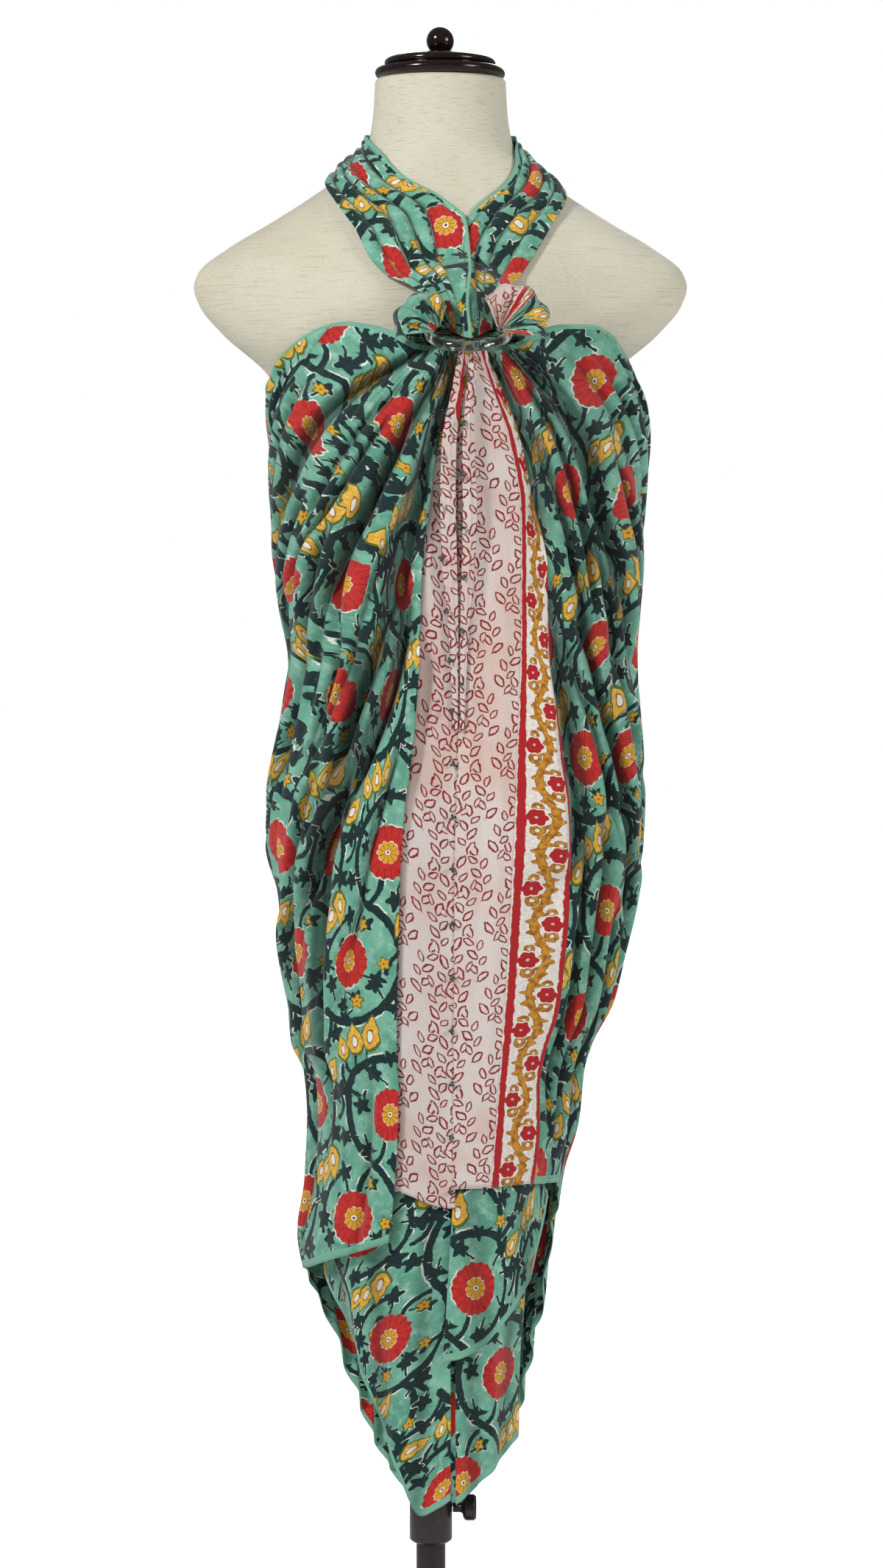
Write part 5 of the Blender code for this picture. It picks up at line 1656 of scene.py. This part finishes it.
def build_turned():
    z = FORM_TOP + SEAM
    profile = [(0.0, z + 19.0), (20.0, z + 19.0), (37.0, z + 18.6), (42.5, z + 17.0)]
    profile += arc(42.6, z + 13.4, 3.2, 70.0, -60.0)
    profile += [(44.0, z + 10.0), (47.5, z + 9.2)]
    profile += arc(49.6, z + 5.2, 4.0, 80.0, -70.0)
    profile += [(50.0, z + 0.8), (48.0, z), (0.0, z)]
    lathe("cap_disc", profile, "wood", ["neck_cap"], 128, FORM_X)
    foot = z + 19.0 + SEAM
    ball = foot + 12.0
    profile = [(0.0, ball + 11.4)] + arc(0.0, ball, 11.4, 86.0, -58.0, 24)
    profile += [(6.6, foot + 1.6), (8.6, foot + 0.8), (8.8, foot), (0.0, foot)]
    lathe("cap_knob", profile, "wood", ["cap_finial"], 64, FORM_X)
    profile = [(0.0, BASE_TOP), (21.0, BASE_TOP), (24.0, BASE_TOP - 3.0), (30.0, BASE_TOP - 8.0)]
    profile += [(80.0, BASE_TOP - 12.0), (128.0, BASE_TOP - 16.0), (136.0, 13.0)]
    profile += arc(BASE_RADIUS - 6.5, 6.5, 6.0, 80.0, -60.0)
    profile += [(BASE_RADIUS - 8.0, 0.0), (0.0, 0.0)]
    lathe("base_disc", profile, "wood", ["stand_base"], 160)
    low = BASE_TOP + SEAM
    profile = [(0.0, CLAMP_SEAT - SEAM), (TUBE_RADIUS - 1.0, CLAMP_SEAT - SEAM)]
    profile += [(TUBE_RADIUS, CLAMP_SEAT - 1.3), (TUBE_RADIUS, low), (0.0, low)]
    lathe("pole_tube", profile, "enamel", ["stand_pole_lower"], 64)
    bore, socket, chamfer = ROD_RADIUS + SEAM, TUBE_RADIUS + SEAM, CLAMP_RADIUS - 2.0
    profile = [(bore, CLAMP_TOP), (chamfer, CLAMP_TOP), (CLAMP_RADIUS, CLAMP_TOP - 2.0)]
    profile += [(CLAMP_RADIUS, CLAMP_LOW + 2.0), (chamfer, CLAMP_LOW), (socket, CLAMP_LOW)]
    profile += [(socket, CLAMP_SEAT), (bore, CLAMP_SEAT)]
    lathe("pole_clamp", profile, "enamel", ["stand_clamp"], 64)
    top = FORM_FOOT - SEAM
    profile = [(0.0, top), (34.0, top), (34.0, top - 4.0), (14.0, top - 6.0), (12.0, top - 26.0)]
    profile += [(ROD_RADIUS, top - 28.0), (ROD_RADIUS, CLAMP_SEAT), (0.0, CLAMP_SEAT)]
    lathe("pole_rod", profile, "enamel", ["stand_pole_upper"], 64)
    profile = [(0.0, 20.0), (9.0, 20.0), (11.0, 18.0), (11.0, 11.0), (9.0, 9.0), (5.0, 8.0), (4.0, 6.0)]
    profile += [(4.0, 0.0), (0.0, 0.0)]
    lay = Matrix.Translation(((CLAMP_RADIUS + SEAM) * MM, 0.0, SCREW_Z * MM))
    lay = lay @ Matrix.Rotation(math.radians(90.0), 4, "Y")
    lathe("clamp_knob", profile, "enamel", ["clamp_screw"], 48, turned_to=lay)


def in_ring(x, y, lift):
    """Points in the ring's tilted plane, lifted off it."""
    tilt = math.radians(RING_TILT)
    flat_y = y * math.cos(tilt) - lift * math.sin(tilt)
    flat_z = y * math.sin(tilt) + lift * math.cos(tilt)
    return stack(x, flat_y, flat_z) + np.array(RING_CENTRE)


def build_ring():
    turn = full_turn(144)[:, None]
    around = full_turn(32)[None, :]
    out = RING_RADIUS + RING_BAR * np.cos(around)
    points = in_ring(out * np.cos(turn), out * np.sin(turn), RING_BAR * np.sin(around))
    points = np.concatenate((points, points[:1]), axis=0)
    mesh = mended(grid_mesh("clear_ring", points, closed=True), weld=True)
    piece("clear_ring", mesh, "resin", ["sarong_ring"])


def build_gathers():
    """The pleated cloth that fills the ring, and the same gathers behind it, below the wrap's top edge, both
    darkened with painted shade on their pleats.
    """
    turn = full_turn(192)[None, :]
    out = np.linspace(1.0, RING_RADIUS - RING_BAR - 0.5, 12)[:, None]
    pleat = np.cos(17.0 * turn + 1.1 * np.sin(3.0 * turn))
    filling = in_ring(out * np.cos(turn), out * np.sin(turn), 1.3 * pleat * out / RING_RADIUS - 1.8)
    filling_places = stack(170.0 * turn / math.pi, 1.6 * out, FAR_FROM_HEM)
    # Painted shade over the whole filling, darkest in the pleats' hollows
    filling_painted_shade = 0.75 - 0.25 * pleat + 0.0 * out
    out = np.linspace(0.04, 1.0, 12)[:, None]
    pleat = np.cos(15.0 * turn + 1.3 * np.sin(2.0 * turn))
    behind = stack(
        16.0 + 52.0 * out * np.cos(turn),
        -126.0 + 13.0 * (out * np.cos(turn)) ** 2 - 1.2 * pleat * out,
        1338.5 + 11.0 * out * np.sin(turn),
    )
    behind_places = stack(210.0 + 3.0 * behind[..., 0], 60.0 + 2.0 * behind[..., 2], FAR_FROM_HEM)
    # Painted shade on the gathers behind the ring, darkest in the pleats' hollows
    behind_painted_shade = 0.55 - 0.3 * pleat + 0.0 * out
    for name, points, places, painted_shade in (
        ("gather_in_ring", filling, filling_places, filling_painted_shade),
        ("gather_behind_ring", behind, behind_places, behind_painted_shade),
    ):
        places = np.concatenate((places, painted_shade[..., None]), axis=-1)
        piece(name, grid_mesh(name, points, places, closed=True), "green", [])


BEAD_RADIUS = 1.25
BEAD_COLUMNS = ("x", "z", "lift")
BEADS_LEFT = named(BEAD_COLUMNS, (
    (13.6, 1318, 52),
    (3, 1281, 34),
    (-1, 1249, 20),
    (-0.8, 1208, 9),
    (0.6, 1166, 4),
    (4.8, 1124, 2),
    (7.6, 1085, 0.6),
    (9.2, 1045, 0.2),
    (10.2, 1002, -4),
    (10.2, 960, -4.2),
    (9.6, 918, -4.2),
    (9.4, 874, -4.2),
    (9.2, 831, -4.2),
    (9, 787, -4.2),
    (9, 744, -4.2),
    (8.6, 700, -4.2),
    (8.4, 655, -4.2),
))
BEADS_RIGHT = named(BEAD_COLUMNS, (
    (22.6, 1306, 45),
    (18.2, 1272, 29),
    (17, 1232, 15),
    (17.4, 1190, 6),
    (18, 1151, 3),
    (17, 1108, 1.4),
    (16, 1066, 0.6),
))


def build_beads():
    """Tiny glass beads in threes, sewn along the two short ends of the cloth."""
    for name, rows in (("bead_row_left", BEADS_LEFT), ("bead_row_right", BEADS_RIGHT)):
        shape = bmesh.new()
        for k, (x, z, lift) in enumerate(rows):
            spot = front_point(np.array([x]), np.array([z]), -lift)[0]
            spot = spot + np.array((FORM_X, -BEAD_RADIUS - 1.4, 0.0))
            for j in range(3):
                a = 2.0 * math.pi * (j / 3.0) + 0.7 * k
                at = Vector(spot) + Vector((1.45 * math.cos(a), -0.2 * j, 1.45 * math.sin(a)))
                bmesh.ops.create_icosphere(
                    shape, subdivisions=2, radius=BEAD_RADIUS * MM, matrix=Matrix.Translation(at * MM)
                )
        mesh = bpy.data.meshes.new(name)
        shape.to_mesh(mesh)
        shape.free()
        piece(name, mesh, "bead", [])


FLOOR_HALF = 12.0
PLAIN_WHITE = (1.0, 1.0, 1.0, 1.0)
LIGHT_COLUMNS = ("name", "spot", "size", "power")
LIGHTS = named(LIGHT_COLUMNS, (
    ("key", (-1.9, -1.9, 2.8), 0.6, 66.0),
    ("fill", (2.3, -1.6, 1.9), 1.0, 34.0),
    ("back", (0.6, 2.6, 2.4), 1.6, 30.0),
))


def build_stage():
    """A plain pale floor, a white world and three soft lights."""
    mesh = bpy.data.meshes.new("floor")
    corners = [(x * FLOOR_HALF, y * FLOOR_HALF, 0.0) for x, y in ((-1, -1), (1, -1), (1, 1), (-1, 1))]
    mesh.from_pydata(corners, [], [(0, 1, 2, 3)])
    floor = bpy.data.objects.new("floor", mesh)
    bpy.context.scene.collection.objects.link(floor)
    paint = Paint("floor_paint", 0.7)
    paint.shader.inputs["Emission Color"].default_value = PLAIN_WHITE
    seen = Field(paint, paint.node("LightPath").outputs["Is Camera Ray"])
    paint.feed(paint.shader.inputs["Emission Strength"], seen * 1.2)
    speck = paint.noise(paint.object_place(), 60.0, 2.0, 0.5, flat=False)
    mesh.materials.append(paint.finish(paint.mixed(speck, (0.90, 0.90, 0.90, 1.0), (0.93, 0.93, 0.93, 1.0))))
    world = bpy.data.worlds.new("studio")
    bpy.context.scene.world = world
    world.use_nodes = True
    tree = world.node_tree
    sky = tree.nodes["Background"]
    sky.inputs["Color"].default_value = PLAIN_WHITE
    sky.inputs["Strength"].default_value = 0.22
    plain = tree.nodes.new("ShaderNodeBackground")
    plain.inputs["Color"].default_value = PLAIN_WHITE
    plain.inputs["Strength"].default_value = 1.0
    ray = tree.nodes.new("ShaderNodeLightPath")
    mix = tree.nodes.new("ShaderNodeMixShader")
    tree.links.new(ray.outputs["Is Camera Ray"], mix.inputs[0])
    tree.links.new(sky.outputs[0], mix.inputs[1])
    tree.links.new(plain.outputs[0], mix.inputs[2])
    tree.links.new(mix.outputs[0], tree.nodes["World Output"].inputs[0])
    for name, spot, size, power in LIGHTS:
        light = bpy.data.lights.new(name, "AREA")
        light.shape = "DISK"
        light.size = size
        light.energy = power
        lamp = bpy.data.objects.new(name, light)
        bpy.context.scene.collection.objects.link(lamp)
        lamp.location = spot
        aim = Vector((0.0, 0.0, 1.0)) - Vector(spot)
        lamp.rotation_euler = aim.to_track_quat("-Z", "Y").to_euler()


CAMERA_PLACE = (0.0089, -3.0, 1.177)
CAMERA_PITCH = 3.79
CAMERA_LENS = 83.1
SENSOR = 36.0


def build_camera():
    """A long lens in front of the form, looking a little down as the photograph does."""
    data = bpy.data.cameras.new("photo_view")
    data.sensor_fit = "VERTICAL"
    data.sensor_height = SENSOR
    data.lens = CAMERA_LENS
    camera = bpy.data.objects.new("photo_view", data)
    camera.location = CAMERA_PLACE
    camera.rotation_euler = (math.radians(90.0 - CAMERA_PITCH), 0.0, 0.0)
    bpy.context.scene.collection.objects.link(camera)
    bpy.context.scene.camera = camera


bpy.context.scene.view_settings.view_transform = "Standard"
build_camera()
build_stage()
build_form()
build_turned()
build_ring()
build_gathers()
front_right = build_wrap()
build_inner_panel()
build_outer_panel(front_right)
build_strips()
build_tails()
build_straps()
build_puffs()
build_neck_tie()
build_beads()
